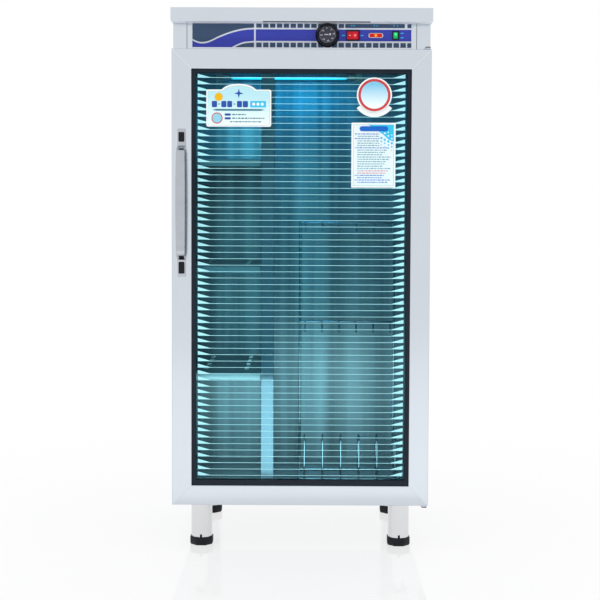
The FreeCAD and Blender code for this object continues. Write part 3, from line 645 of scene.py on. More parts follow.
@dataclass(frozen=True)
class Moulded(Finish):
    """Moulded plastic or rubber: a fine spark-eroded grain, with sheen worn in patches."""

    rough: float = 0.45
    grain: float = 1.0
    coat: float = 0.0
    shine: float = 0.22

    def painted(self, sketch: Sketch) -> bpy.types.Material:
        """Draw the grain and the worn patches.

        Args:
            sketch: the material in the making.

        Returns:
            The material.
        """
        pits = sketch.noise((1600, 1600, 1600), 2, 0.5)
        wear = sketch.noise((45, 45, 45), 4, 0.6)
        tone = sketch.blend(wear, self.darker(0.86), self.tone)
        return sketch.done(sketch.shader(Base_Color=tone, Coat_Weight=self.coat, Coat_Roughness=0.12,
                                         Roughness=sketch.rough(wear, self.rough - 0.06, self.rough + 0.08),
                                         Specular_IOR_Level=self.shine,
                                         Normal=sketch.bump(pits, 0.2 * self.grain, 0.05)))


@dataclass(frozen=True)
class Inked(Finish):
    """Screen ink or printed sheet: even colour with a faint mottle. Its tone may change with height."""

    foot: Tone | None = None
    reach: tuple[float, float] = (0.0, 1.0)
    gloss: float = 0.28
    # Above zero, the ink sends out light though it is no lamp: painted glow.
    glow: float = 0.0
    screen: float = 0.0

    def painted(self, sketch: Sketch) -> bpy.types.Material:
        """Draw the mottle, the screen's grid, the change of tone from the foot to the head and any painted
        glow.

        Args:
            sketch: the material in the making.

        Returns:
            The material.
        """
        mottle = sketch.noise((420, 420, 420), 3, 0.6)
        if self.screen:
            lines = [sketch.node("TexWave", {"Vector": sketch.spots, "Scale": 314 / self.screen},
                                 bands_direction=way).outputs["Fac"] for way in "XZ"]
            grid = sketch.node("Math", {0: lines[0], 1: lines[1]}, operation="MULTIPLY").outputs[0]
            mottle = sketch.node("Math", {0: mottle, 1: grid}, operation="ADD").outputs[0]
        tone = sketch.blend(mottle, self.darker(0.82 if self.screen else 0.94), self.tone)
        if self.foot:
            height = sketch.node("SeparateXYZ", {0: sketch.spots}).outputs[2]
            share = sketch.between(height, self.reach[0] * MM, self.reach[1] * MM, 1, 0)
            tone = sketch.blend(share, tone, self.foot)
        return sketch.done(sketch.shader(Base_Color=tone, Emission_Color=linear(self.tone),
                                         Roughness=sketch.rough(mottle, self.gloss - 0.05, self.gloss + 0.08),
                                         Emission_Strength=self.glow, Specular_IOR_Level=0.25))


@dataclass(frozen=True)
class Lit(Finish):
    """Translucent plastic with a small lamp behind it."""

    core: Tone = (255, 220, 120)
    spot: Point = (0.0, 0.0, 0.0)
    reach: float = 8.0
    glow: float = 1.2

    def painted(self, sketch: Sketch) -> bpy.types.Material:
        """Draw the lamp's glow as it fades from its place.

        Args:
            sketch: the material in the making.

        Returns:
            The material.
        """
        near = sketch.ball(self.spot, self.reach)
        sharp = sketch.node("Math", {0: near, 1: 2.2}, operation="POWER").outputs[0]
        tone = sketch.blend(sharp, self.tone, self.core)
        power = sketch.between(sharp, 0, 1, 0.22 * self.glow, self.glow)
        ribs = sketch.noise((900, 900, 900), 2, 0.5)
        return sketch.done(sketch.shader(Base_Color=tone, Roughness=sketch.rough(ribs, 0.14, 0.24),
                                         Emission_Color=tone, Emission_Strength=power,
                                         Specular_IOR_Level=0.3))


@dataclass(frozen=True)
class Pane(Finish):
    """Tinted tempered glass: light passes it with its tint, and its face mirrors softly."""

    veil: Tone = (8, 48, 62)

    def painted(self, sketch: Sketch) -> bpy.types.Material:
        """Draw the tint, the faint roller wave and the mirror.

        Args:
            sketch: the material in the making.

        Returns:
            The material.
        """
        wave = sketch.noise((2.5, 2.5, 9), 2, 0.4)
        clear = sketch.node("BsdfTransparent", {"Color": linear(self.tone)}).outputs[0]
        face = sketch.shader(Base_Color=linear(self.veil), Roughness=0.04, IOR=1.5,
                             Normal=sketch.bump(wave, 0.05, 0.4))
        share = sketch.node("LayerWeight", {"Blend": 0.12}).outputs["Fresnel"]
        part = sketch.between(share, 0, 1, 0.12, 0.75)
        return sketch.done(sketch.node("MixShader", {0: part, 1: clear, 2: face}).outputs[0])


@dataclass(frozen=True)
class Glowing(Finish):
    """The lit discharge in the lamp tube, weaker towards its ends."""

    glow: float = 3.0
    middle: float = -32.0
    fade: Spot = (100.0, 160.0)

    def painted(self, sketch: Sketch) -> bpy.types.Material:
        """Draw the discharge with its darker ends.

        Args:
            sketch: the material in the making.

        Returns:
            The material.
        """
        along = sketch.node("SeparateXYZ", {0: sketch.spots}).outputs[0]
        from_middle = sketch.node("Math", {0: along, 1: -self.middle * MM}, operation="ADD").outputs[0]
        size = sketch.node("Math", {0: from_middle}, operation="ABSOLUTE").outputs[0]
        power = sketch.between(size, self.fade[0] * MM, self.fade[1] * MM, self.glow, self.glow * 0.45)
        tone = linear(self.tone)
        return sketch.done(sketch.shader(Base_Color=tone, Roughness=0.08, Emission_Strength=power,
                                         Emission_Color=tone))


STEEL = (211, 218, 226)
OUTER = {axis: Satin("satin_sheet_" + axis.value.lower(), STEEL, axis) for axis in Axis}
# The chamber sheets and the side walls' sheet set their last figure to darken broad stripes along the grain:
# painted reflection.
WALLS = {axis: Satin("chamber_sheet_" + axis.value.lower(), (168, 180, 187), axis, 0.36, 0.4, 0.3)
         for axis in Axis}
# The side walls' sheet is a darker copy of the chamber sheet: painted shade.
SHADED_FLANKS = Satin("chamber_flank_painted_shade", (150, 164, 174), Axis.Z, 0.22, 0.9, 0.2)
TRAYS = Satin("tray_sheet", (190, 201, 207), Axis.X, 0.36, 0.5)
POST = Satin("post_sheet", (136, 150, 164), Axis.Z, 0.34, 0.4)
# A paler, nearly matt copy of the outer steel for the lid's downward faces: painted light.
LIT_UNDERSIDE = Satin("lid_underside_painted_light", (240, 244, 250), Axis.X, 0.6, 0.05)
TUBE = Satin("polished_tube", (224, 226, 227), Axis.Z, 0.12)
CHROME = Bright("bright_chrome", (188, 192, 200), 0.05)
SEAM = Bright("polished_seam", (240, 243, 247), 0.2)
PLATED = Bright("plated_wire", (170, 184, 194), 0.16)
MIRROR = Bright("mirror_sheet", (228, 232, 236), 0.1)
CAN = Bright("plain_can", (205, 207, 210), 0.3)
ZINC = Bright("zinc_plate", (190, 194, 198), 0.24)
BRACKET = Satin("bracket_plate", (206, 216, 232), Axis.X, 0.4, 0.2)
PIN = Bright("pin_steel", (116, 108, 108), 0.3)
RUBBER = Moulded("matt_rubber", (30, 38, 48), 0.62, 1.4)
# Dark moulding for the joints beside the fascia and for the painted shade in the fold under the lid.
DARK_JOINT_AND_SHADE = Moulded("dark_joint_and_painted_shade", (40, 38, 42), 0.7)
BLACK = Moulded("black_moulding", (16, 20, 27), 0.38)
KNOB = Moulded("knob_moulding", (14, 18, 25), 0.3, 0.5)
FACE = Moulded("dial_face", (66, 67, 79), 0.5)
WHITE = Moulded("white_moulding", (226, 226, 222), 0.42)
IRON = Moulded("varnished_iron", (46, 48, 56), 0.36, 1.2, 0.3)
PALE_INK = Inked("pale_ink", (226, 231, 239))
SLATE_INK = Inked("slate_ink", (62, 84, 114), screen=4.2)
BLUE_INK = Inked("blue_ink", (60, 70, 180))
# The cyan and glass inks glow a little though they are no lamps: painted glow.
CYAN_INK = Inked("cyan_ink_painted_glow", (50, 186, 224), glow=0.15)
GLASS_INK = Inked("glass_ink_painted_glow", (170, 238, 246), gloss=0.4, glow=0.1)
SHEET_WHITE = Inked("sheet_white", (246, 252, 252))
SOFT_RED = Inked("soft_red", (208, 70, 74))
PANE = Pane("tinted_pane", (204, 238, 243))
QUARTZ = Pane("quartz_tube", (226, 246, 252))
LAMP = Glowing("lamp_glow", (50, 225, 255))


def kept(node: str, finish: Finish) -> None:
    """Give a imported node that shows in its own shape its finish.

    Args:
        node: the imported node's name.
        finish: its finish.
    """
    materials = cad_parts[node].data.materials
    materials.clear()
    materials.append(finish.material())


# Surroundings


@dataclass(frozen=True)
class Studio:
    """The plain pale room: floor, world, soft lamps and the camera at the photograph's place."""

    spot: Point = (19.29, -3317.54, 850.0)
    pan: float = 0.00297
    tilt: float = -0.05376
    roll: float = 0.00408
    focal: float = 1317.65
    picture: float = 600.0
    aside: float = 5.09
    above: float = 33.0
    ambient: float = 0.56
    floor_half: float = 9.0
    shadow: Spot = (0.35, 1.6)

    def camera(self) -> None:
        """Set the camera where the photograph was taken from."""
        data = bpy.data.cameras.new("view")
        data.sensor_width = 36
        data.lens = self.focal * data.sensor_width / self.picture
        data.shift_x = -self.aside / self.picture
        data.shift_y = -self.above / self.picture
        data.clip_end = 100
        made = bpy.data.objects.new("view", data)
        place = Matrix.Translation(Vector(self.spot) * MM) @ Matrix.Rotation(self.pan, 4, "Z")
        upright = place @ Matrix.Rotation(math.pi / 2 + self.tilt, 4, "X")
        made.matrix_world = upright @ Matrix.Rotation(self.roll, 4, "Z")
        bpy.context.scene.collection.objects.link(made)
        bpy.context.scene.camera = made

    @staticmethod
    def seen(tree: bpy.types.NodeTree) -> bpy.types.NodeSocket:
        """A value of one for rays from the camera, a mirror or a pane.

        Args:
            tree: the node tree that it is added to.

        Returns:
            The value.
        """
        rays = tree.nodes.new("ShaderNodeLightPath")
        total = rays.outputs["Is Camera Ray"]
        for name in ("Is Glossy Ray", "Is Transmission Ray"):
            both = tree.nodes.new("ShaderNodeMath")
            both.operation = "MAXIMUM"
            tree.links.new(total, both.inputs[0])
            tree.links.new(rays.outputs[name], both.inputs[1])
            total = both.outputs[0]
        return total

    def world(self) -> None:
        """A white surround that lights the object evenly and plainly."""
        world = bpy.data.worlds.new("surround")
        world.use_nodes = True
        bpy.context.scene.world = world
        tree = world.node_tree
        back = tree.nodes["Background"]
        back.inputs["Color"].default_value = (1, 1, 1, 1)
        level = tree.nodes.new("ShaderNodeMapRange")
        tree.links.new(self.seen(tree), level.inputs["Value"])
        level.inputs[3].default_value = self.ambient
        level.inputs[4].default_value = 1.0
        tree.links.new(level.outputs[0], back.inputs["Strength"])

    def floor(self) -> None:
        """A pale floor that keeps the shadow, with a faint polish."""
        form = Form()
        bmesh.ops.create_grid(form.bm, x_segments=1, y_segments=1, size=self.floor_half)
        mesh = bpy.data.meshes.new("floor")
        form.bm.to_mesh(mesh)
        form.bm.free()
        made = bpy.data.objects.new("floor", mesh)
        bpy.context.scene.collection.objects.link(made)
        sketch = Sketch("pale_floor")
        lit = sketch.shader(Base_Color=(0.9, 0.9, 0.91, 1), Roughness=0.04, Specular_IOR_Level=1.0,
                            Coat_Weight=1.0, Coat_Roughness=0.02)
        white = sketch.node("Emission", {"Color": (1, 1, 1, 1), "Strength": 1.0}).outputs[0]
        away = sketch.node("VectorMath", {0: sketch.spots}, operation="LENGTH").outputs["Value"]
        share = sketch.between(away, *self.shadow, 0.7, 1.0)
        seen = sketch.node("Math", {0: share, 1: self.seen(sketch.tree)}, operation="MULTIPLY").outputs[0]
        surface = sketch.node("MixShader", {0: seen, 1: lit, 2: white}).outputs[0]
        made.data.materials.append(sketch.done(surface))

    @staticmethod
    def lamp(name: str, spot: Point, aim: Point, size: Spot, power: float, tone: Tone,
             spread: float = 180) -> bpy.types.Object:
        """One soft lamp.

        Args:
            name: its name.
            spot: where it hangs, in metres.
            aim: what it looks at, in metres.
            size: its width and height, in metres.
            power: its power, in watts.
            tone: its colour.
            spread: how wide its light opens, in degrees.

        Returns:
            The lamp's object.
        """
        data = bpy.data.lights.new(name, "AREA")
        data.shape = "RECTANGLE"
        data.size, data.size_y = size
        data.energy = power
        data.color = linear(tone)[:3]
        data.spread = math.radians(spread)
        made = bpy.data.objects.new(name, data)
        made.location = spot
        made.rotation_euler = (Vector(aim) - Vector(spot)).to_track_quat("-Z", "Y").to_euler()
        bpy.context.scene.collection.objects.link(made)
        return made

    def lamps(self) -> None:
        """Soft lamps round the cabinet, a bright floor before it, and the light of its own lamp inside."""
        plain = (255, 255, 255)
        middle = (0, 0, 0.7)
        # Name, place, aim, size, watts of a lamp that mirrors leave out, and strength of one that they show
        for name, spot, aim, size, power, sheen in (
                ("key", (-2.4, -2.7, 1.6), middle, (1.4, 2.6), 21, 0.3),
                ("fill", (2.6, -2.4, 1.4), middle, (1.4, 2.6), 14, 0.2),
                ("top", (0, -0.4, 3.4), middle, (4, 4), 46, 0.22),
                ("rear", (0.6, 3.4, 2.0), middle, (4, 4), 24, 0.1),
                ("low", (0, -1.6, 0.1), (0, 0, 0.22), (1.8, 0.16), 5.5, 0.0),
                ("floor", (0, -2.2, 0.02), (0, -2.2, 1), (3.2, 3.2), 0, 0.2)):
            if power:
                soft = self.lamp(name, spot, aim, size, power, plain)
                soft.visible_glossy = soft.visible_camera = False
            if sheen:
                watts = sheen * math.pi * size[0] * size[1]
                shine = self.lamp(name + "_sheen", spot, aim, size, watts, plain)
                shine.visible_camera = False
        azure, cyan, pale, white = (0, 190, 250), (134, 232, 250), (172, 234, 244), (255, 250, 244)
        # Name, place, aim, size, watts, tone and spread
        for name, spot, aim, size, power, tone, spread in (
                ("inner", (-0.032, -0.02, 1.129), (-0.032, 0.09, 0.95), (0.3, 0.03), 0.9, azure, 180),
                ("glow_upper", (-0.15, -0.13, 1.02), (-0.15, 0.3, 0.99), (0.08, 0.12), 0.075, cyan, 80),
                ("glow_left", (-0.165, -0.13, 0.51), (-0.165, 0.3, 0.48), (0.12, 0.68), 0.135, pale, 80),
                ("glow_right", (0.005, -0.13, 0.6), (0.005, 0.3, 0.57), (0.12, 0.82), 0.036, cyan, 36),
                ("glow_foot", (-0.02, -0.188, 0.29), (-0.02, 0.3, 0.26), (0.46, 0.24), 1.0, white, 160)):
            self.lamp(name, spot, aim, size, power, tone, spread).visible_camera = False

    def build(self) -> None:
        """Set up all of the room."""
        bpy.context.scene.view_settings.view_transform = "Standard"
        self.camera()
        self.world()
        self.floor()
        self.lamps()


# Assemblies


@dataclass(frozen=True)
class Casing:
    """The outer skin: sides, back, base, lid, rear cover and cord gland."""

    ease: float = 0.5
    screw: float = 3.4
    dome: tuple[Spot, ...] = ((0, 0.6), (0.35, 0.6), (0.42, 1.7), (0.75, 1.45), (1, 0.5), (1, -0.4),
                              (0, -0.4))
    screw_rows: int = 6
    screws_from: float = 30.0
    screws_spare: float = 90.0
    screw_inset: float = 9.0
    cover_inset: Spot = (13.0, 8.0)
    cover_thick: float = 1.2
    joint: float = 0.6
    joint_proud: float = 0.25
    joint_top: float = 1257.8
    fold_across: Spot = (-91.0, 161.0)
    fold_deep: Spot = (1.0, 8.0)
    fold_up: Spot = (1256.4, 1258.1)

    def screw_head(self, x: float, z: float, y: float = Y_BACK) -> Form:
        """A domed screw head with a hollow drive, on a face that looks along the depth."""
        return turned([(share * self.screw, along) for share, along in self.dome], (x, y, z), Axis.Y, 24)

    def skins(self) -> None:
        """The folded sheets, and a paler, nearly matt copy of the steel for what faces down on the lid, which
        is painted light.
        """
        for node, axis in (("left_side_panel", Axis.Z), ("right_side_panel", Axis.Z), ("back_panel", Axis.Z),
                           ("base_pan", Axis.X)):
            dressed(node, "skin_" + node, "outer_steel", OUTER[axis], self.ease)
        lid = dressed("top_cover", "skin_top_cover", "outer_steel", OUTER[Axis.X], self.ease)
        lid.data.materials.append(LIT_UNDERSIDE.material())
        # What faces down on the lid takes the paler copy: painted light.
        for face in lid.data.polygons:
            face.material_index = int(face.normal.z < -0.9)

    def gaps(self) -> None:
        """The dark joints beside the fascia, and a dark strip in the open fold under the lid that is painted
        shade.
        """
        lid, strip = Span.of("top_cover"), Span.of("control_fascia")
        near, far = Y_BODY - self.joint_proud, Y_BODY + self.joint
        beads = [block((x - self.joint, near, strip.low.z + 1), (x + self.joint, far, self.joint_top))
                 for x in (strip.low.x, strip.high.x)]
        (x0, x1), (y0, y1), (z0, z1) = self.fold_across, self.fold_deep, self.fold_up
        # A dark strip where the fold under the lid lies in shade: painted shade.
        fold = block((x0, lid.low.y + y0, z0), (x1, lid.low.y + y1, z1), 0.1, 1)
        joined(beads + [fold]).piece("dark_joints_and_painted_shade", "cabinet", "black_plastic", DARK_JOINT_AND_SHADE)

    def rear(self) -> None:
        """The vented cover, its screws, the back panel's screws and the cord gland."""
        dressed("service_cover", "vented_cover", "outer_steel", OUTER[Axis.X], self.ease)
        cover, panel = Span.of("service_cover"), Span.of("back_panel")
        across, up = self.cover_inset
        heads = [self.screw_head(x, z, Y_BACK + self.cover_thick)
                 for x in (cover.low.x + across, cover.high.x - across)
                 for z in (cover.low.z + up, cover.high.z - up)]
        length = panel.high.z - panel.low.z - self.screws_spare
        for row in range(self.screw_rows):
            z = panel.low.z + self.screws_from + row * length / (self.screw_rows - 1)
            heads += [self.screw_head(x, z)
                      for x in (panel.low.x + self.screw_inset, panel.high.x - self.screw_inset)]
        joined(heads).piece("rear_screws", "cabinet", "tube_steel", ZINC)
        dressed("cord_gland", "gland", "black_plastic", BLACK, 0.5)

    def build(self) -> None:
        """Make the casing."""
        self.skins()
        self.gaps()
        self.rear()


@dataclass(frozen=True)
class Film:
    """The pale film on the fascia, with slate, blue and cyan inks in waves, rows of squares and a band."""

    ink: float = 0.08
    margin: float = 0.8
    row_low: Spot = (1201.5, 1212.6)
    band: Spot = (1216.5, 1243.7)
    row_high: Spot = (1247.6, 1257.2)
    strip: Spot = (102.5, 243.6)
    square: float = 12.9
    pitch: float = 16.26
    squares: int = 23
    bare: range = range(13, 22)
    squares_from: float = -108.0
    panel_end: float = -113.2
    wave_line: float = 1.9
    upper: tuple[Spot, ...] = ((-247, 1213.4), (-236, 1211.9), (-225, 1213.2), (-212, 1218.0), (-197, 1225.4),
                               (-176, 1233.8), (-155, 1240.2), (-134, 1244.2), (-113.2, 1245.7))
    upper_from: float = 1218.8
    lower: tuple[Spot, ...] = ((-163, 1201.4), (-155, 1205.4), (-144, 1210.0), (-133, 1212.8),
                               (-113.2, 1214.6))
    lower_ends: Spot = (-158.0, -166.0)
    marks: tuple[Point, ...] = (
        (118, 1253, 1.6), (124, 1253, 1.6), (172, 1253, 1.6), (178, 1253, 1.6), (218, 1253, 1.6),
        (226, 1253, 1.6), (98.5, 1230, 3.6), (142.5, 1230, 3.2), (237.5, 1235.4, 3.6), (237.5, 1225, 3.6))

    def printed(self, name: str, finish: Finish, outlines: Iterable[Sequence[Spot]], far: float = 0.02,
                layers: int = 1) -> None:
        """Print fields of ink on the film.

        Args:
            name: the piece's name.
            finish: the ink.
            outlines: the fields' outlines.
            far: how far they reach into the film.
            layers: how many layers of ink they have.
        """
        near = Y_FILM - layers * self.ink
        joined(plate(outline, Axis.Y, near, Y_FILM + far) for outline in outlines).piece(
            name, "cabinet", "printed_film", finish)

    @staticmethod
    def field(x0: float, x1: float, heights: Spot) -> list[Spot]:
        """A plain rectangle of ink."""
        return [(x0, heights[0]), (x1, heights[0]), (x1, heights[1]), (x0, heights[1])]

    def build(self) -> None:
        """Make the film and print it."""
        film = Span.of("control_overlay")
        left, right = film.low.x + self.margin, film.high.x - self.margin
        dressed("control_overlay", "film", "printed_film", PALE_INK)
        upper, lower = flowing([(left, self.upper_from), *self.upper], 4), flowing(self.lower, 4)
        top, bottom, line = self.row_high[1], self.row_low[0], self.wave_line
        under, beside = self.lower_ends
        slate = [[*((x, z + line) for x, z in upper), (self.panel_end, top), (left, top)],
                 [(under, bottom), *((x, z - line) for x, z in lower[5:]), (self.panel_end, bottom)]]
        blue = [[(left, bottom), (beside, bottom), *((x, z + line) for x, z in lower),
                 *((x, z - line) for x, z in reversed(upper))]]
        for heights, skips in ((self.row_low, ()), (self.row_high, self.bare)):
            starts = [self.squares_from + i * self.pitch for i in range(self.squares) if i not in skips]
            slate += [self.field(x, min(x + self.square, right), heights) for x in starts]
        slate.append(self.field(*self.strip, self.row_high))
        blue.append(self.field(self.squares_from - 1, right, self.band))
        self.printed("film_slate", SLATE_INK, slate)
        self.printed("film_blue", BLUE_INK, blue)
        marks = [rounded(x - half, x + half, z - 1.1, z + 1.1, 0.9, 3) for x, z, half in self.marks]
        self.printed("film_marks", CYAN_INK, marks, 0, 2)


@dataclass(frozen=True)
class Dial:
    """The timer's knob: a flared skirt, a dark face, plain numbers, ticks, a pointer and a bar."""

    depth: float = 18.0
    recess: float = 1.45
    first: float = 97.0
    step: float = 45.0
    minutes: int = 15
    count: int = 8
    quarters: int = 4
    digit: Spot = (5.2, 0.16)
    ring: float = 14.6
    tick: Spot = (18.0, 19.2)
    tick_half: Spot = (0.08, 0.25)
    pointer: tuple[Spot, ...] = ((4.6, 3.4), (8.6, 1.4), (5.4, -2.6))
    bar: Spot = (-7.5, 3.5)

    def make(self, form: Form, name: str, finish: Finish, *replaced: str) -> None:
        """Make one piece of the knob."""
        form.piece(name, "timer_knob", "knob_plastic", finish, *replaced)

    def printed(self, at: Point) -> Form:
        """The numbers, the ticks between them and the pointer.

        Args:
            at: the middle of the knob's front.

        Returns:
            The printed marks in one form.
        """
        x, front, z = at
        marks = []
        for i in range(self.count):
            turn = math.radians(self.first - self.step * i)
            place = (x + self.ring * math.cos(turn), front + self.recess, z + self.ring * math.sin(turn))
            facing = Matrix.Translation(place) @ Matrix.Rotation(math.pi / 2, 4, "X")
            marks.append(lettering(str(i * self.minutes), *self.digit).moved(facing))
            for part in range(1, self.quarters):
                tick = math.radians(self.first - self.step * (i + part / self.quarters))
                line = block((self.tick[0], -self.tick_half[0], -self.tick_half[1]),
                             (self.tick[1], self.tick_half[0], self.tick_half[1]))
                place = Matrix.Translation((x, front + self.recess, z))
                marks.append(line.moved(place @ Matrix.Rotation(-tick, 4, "Y")))
        pointer = [(x + a, z + b) for a, b in self.pointer]
        return joined(marks + [plate(pointer, Axis.Y, front + 1.35, front + 1.6)])

    def build(self) -> None:
        """Make the knob."""
        knob = Span.of("timer_knob")
        x, z, front, rear = knob.middle.x, knob.middle.z, knob.low.y, knob.high.y
        back = front + self.depth
        skirt = [(0, rear), (2.6, rear), (3.0, rear - 0.6), (3.0, back), (27.5, back), (28.2, back - 0.7),
                 (28.2, back - 2.2), (27.0, back - 3.4), (25.4, back - 6), (24.2, back - 10),
                 (23.4, back - 15), (23.0, front + 1.1), (22.3, front + 0.25), (21.6, front),
                 (20.9, front + 0.3), (20.5, front + 1.2), (20.4, front + 2.0), (0, front + 2.0)]
        self.make(turned(skirt, (x, 0, z), Axis.Y, 96), "dial_knob", KNOB, "timer_knob")
        face = [(0, front + 1.5), (19.6, front + 1.5), (20.2, front + 1.9), (20.2, front + 2.4),
                (0, front + 2.4)]
        self.make(turned(face, (x, 0, z), Axis.Y, 64), "dial_face", FACE)
        self.make(self.printed((x, front, z)), "dial_numbers", PALE_INK)
        bar = rounded(x + self.bar[0], x + self.bar[1], z - 1.1, z + 1.1, 1.0, 4)
        self.make(plate(bar, Axis.Y, front + 1.1, front + 1.7, 0.2), "dial_bar", ZINC)


@dataclass(frozen=True)
class Rocker:
    """A rocker with a hollow face and round edges, in its bezel.

    The radius is its half length, the rise is how far its ends stand out of the film, and the turn is its
    turn on the fascia in degrees.
    """

    name: str
    node: str
    housing: str
    slot: str
    finish: Finish
    x: float
    radius: float
    half: float
    rise: float
    turn: float
    tilt: float = 10.0
    pivot: float = 2.5
    hollow: float = 1.5
    shoulder: float = 0.55
    mark: Spot = (-3.45, -2.6)

    def form(self) -> Form:
        """The rocker about its own middle.

        Returns:
            The rocker's form.
        """
        lip = math.sqrt(self.radius ** 2 - (self.pivot + self.rise) ** 2)
        shoulder, rise, radius, pivot = self.shoulder - self.rise, self.rise, self.radius, self.pivot
        front = flowing([(-lip, -rise), (-lip * 0.5, shoulder), (0, self.hollow - rise),
                         (lip * 0.5, shoulder), (lip, -rise)], 5)
        outline = front + [(radius - 0.2, pivot - 1), (radius, pivot + 1), (radius * 0.9, pivot + 4),
                           (-radius * 0.9, pivot + 4), (-radius, pivot + 1), (0.2 - radius, pivot - 1)]
        return plate(outline, Axis.Z, -self.half, self.half, 0.7, 3)

    def place(self) -> Matrix:
        """The matrix that sets the rocker, tilted, in the fascia.

        Returns:
            The matrix.
        """
        spot = Matrix.Translation((self.x, Y_FILM, CONTROL_Z))
        turn = Matrix.Rotation(math.radians(self.turn), 4, "Y")
        tilt = Matrix.Rotation(math.radians(-self.tilt), 4, "Z")
        pivot = Matrix.Translation((0, self.pivot, 0))
        return spot @ turn @ pivot @ tilt @ Matrix.Translation((0, -self.pivot, 0))

    def marks(self) -> None:
        """The plain bar and ring on its face."""
        near, far = self.mark
        at = self.place()
        bar = plate(rounded(-8.4, -3.8, -0.55, 0.55, 0.4, 3), Axis.Y, near, far)
        ring = plate(rounded(4.0, 8.8, -2.4, 2.4, 2.39, 8), Axis.Y, near, far)
        hole = plate(rounded(4.9, 7.9, -1.5, 1.5, 1.49, 8), Axis.Y, near - 0.05, far + 0.1)
        joined([bar.moved(at), ring.moved(at)]).piece("rocker_marks", self.node, self.slot, PALE_INK)
        hole.moved(at).piece("rocker_mark_hole", self.node, self.slot, self.finish)

    def build(self) -> None:
        """Make the rocker and its bezel."""
        self.form().moved(self.place()).piece(self.name, self.node, self.slot, self.finish, self.node)
        dressed(self.housing, self.name + "_bezel", "black_plastic", BLACK, 0.7)


@dataclass(frozen=True)
class ControlStrip:
    """The fascia with its film, dial, two rockers and pilot lamp."""

    main_x: float = 121.0
    lamp_x: float = 222.0
    collar: float = 5.2
    case_inset: Spot = (3.0, 1.3)
    lens_reach: Spot = (0.8, 0.3)

    def switches(self) -> None:
        """The red rocker with its marks, and the green one that stands upright."""
        y = Y_FILM - 3
        red = Lit("red_lit", (190, 0, 26), (255, 40, 46), (self.main_x + 5, y, CONTROL_Z), 9, 0.8)
        green = Lit("green_lit", (10, 176, 84), (90, 255, 160), (self.lamp_x, y, CONTROL_Z + 3), 8, 0.95)
        main_rocker = Rocker("red_rocker", "main_rocker", "main_switch_housing", "red_plastic", red,
                             self.main_x, 14.2, 9.4, 3.8, 0)
        main_rocker.build()
        main_rocker.marks()
        Rocker("green_rocker", "lamp_rocker", "lamp_switch_housing", "green_plastic", green,
               self.lamp_x, 8.3, 5.2, 2.6, 90).build()

    def pilot(self) -> None:
        """The bright bezel and the red lens with an amber lamp behind it."""
        body, lens = Span.of("pilot_lamp_body"), Span.of("pilot_lamp_lens")
        rim = rounded(body.low.x, body.high.x, body.low.z, body.high.z, self.collar)
        collar = plate(rim, Axis.Y, body.low.y, Y_FILM, 1.1, 3)
        across, up = self.case_inset
        case = block((body.low.x + across, Y_FILM, body.low.z + up),
                     (body.high.x - across, body.high.y, body.high.z - up), 0.5)
        joined([collar, case]).piece("pilot_bezel", "cabinet", "pilot_bezel", CHROME, "pilot_lamp_body")
        across, up = self.lens_reach
        window = rounded(lens.low.x - across, lens.high.x + across, lens.low.z - up, lens.high.z + up, 1.6)
        spot = (lens.middle.x, lens.low.y, lens.middle.z)
        lit = Lit("pilot_lit", (206, 6, 22), (255, 200, 40), spot, 6, 0.9)
        plate(window, Axis.Y, lens.low.y, lens.high.y, 0.8, 3).piece(
            "pilot_window", "cabinet", "pilot_red", lit, "pilot_lamp_lens")

    def build(self) -> None:
        """Make the strip."""
        dressed("control_fascia", "fascia", "outer_steel", OUTER[Axis.X], 0.5)
        Film().build()
        Dial().build()
        self.switches()
        self.pilot()


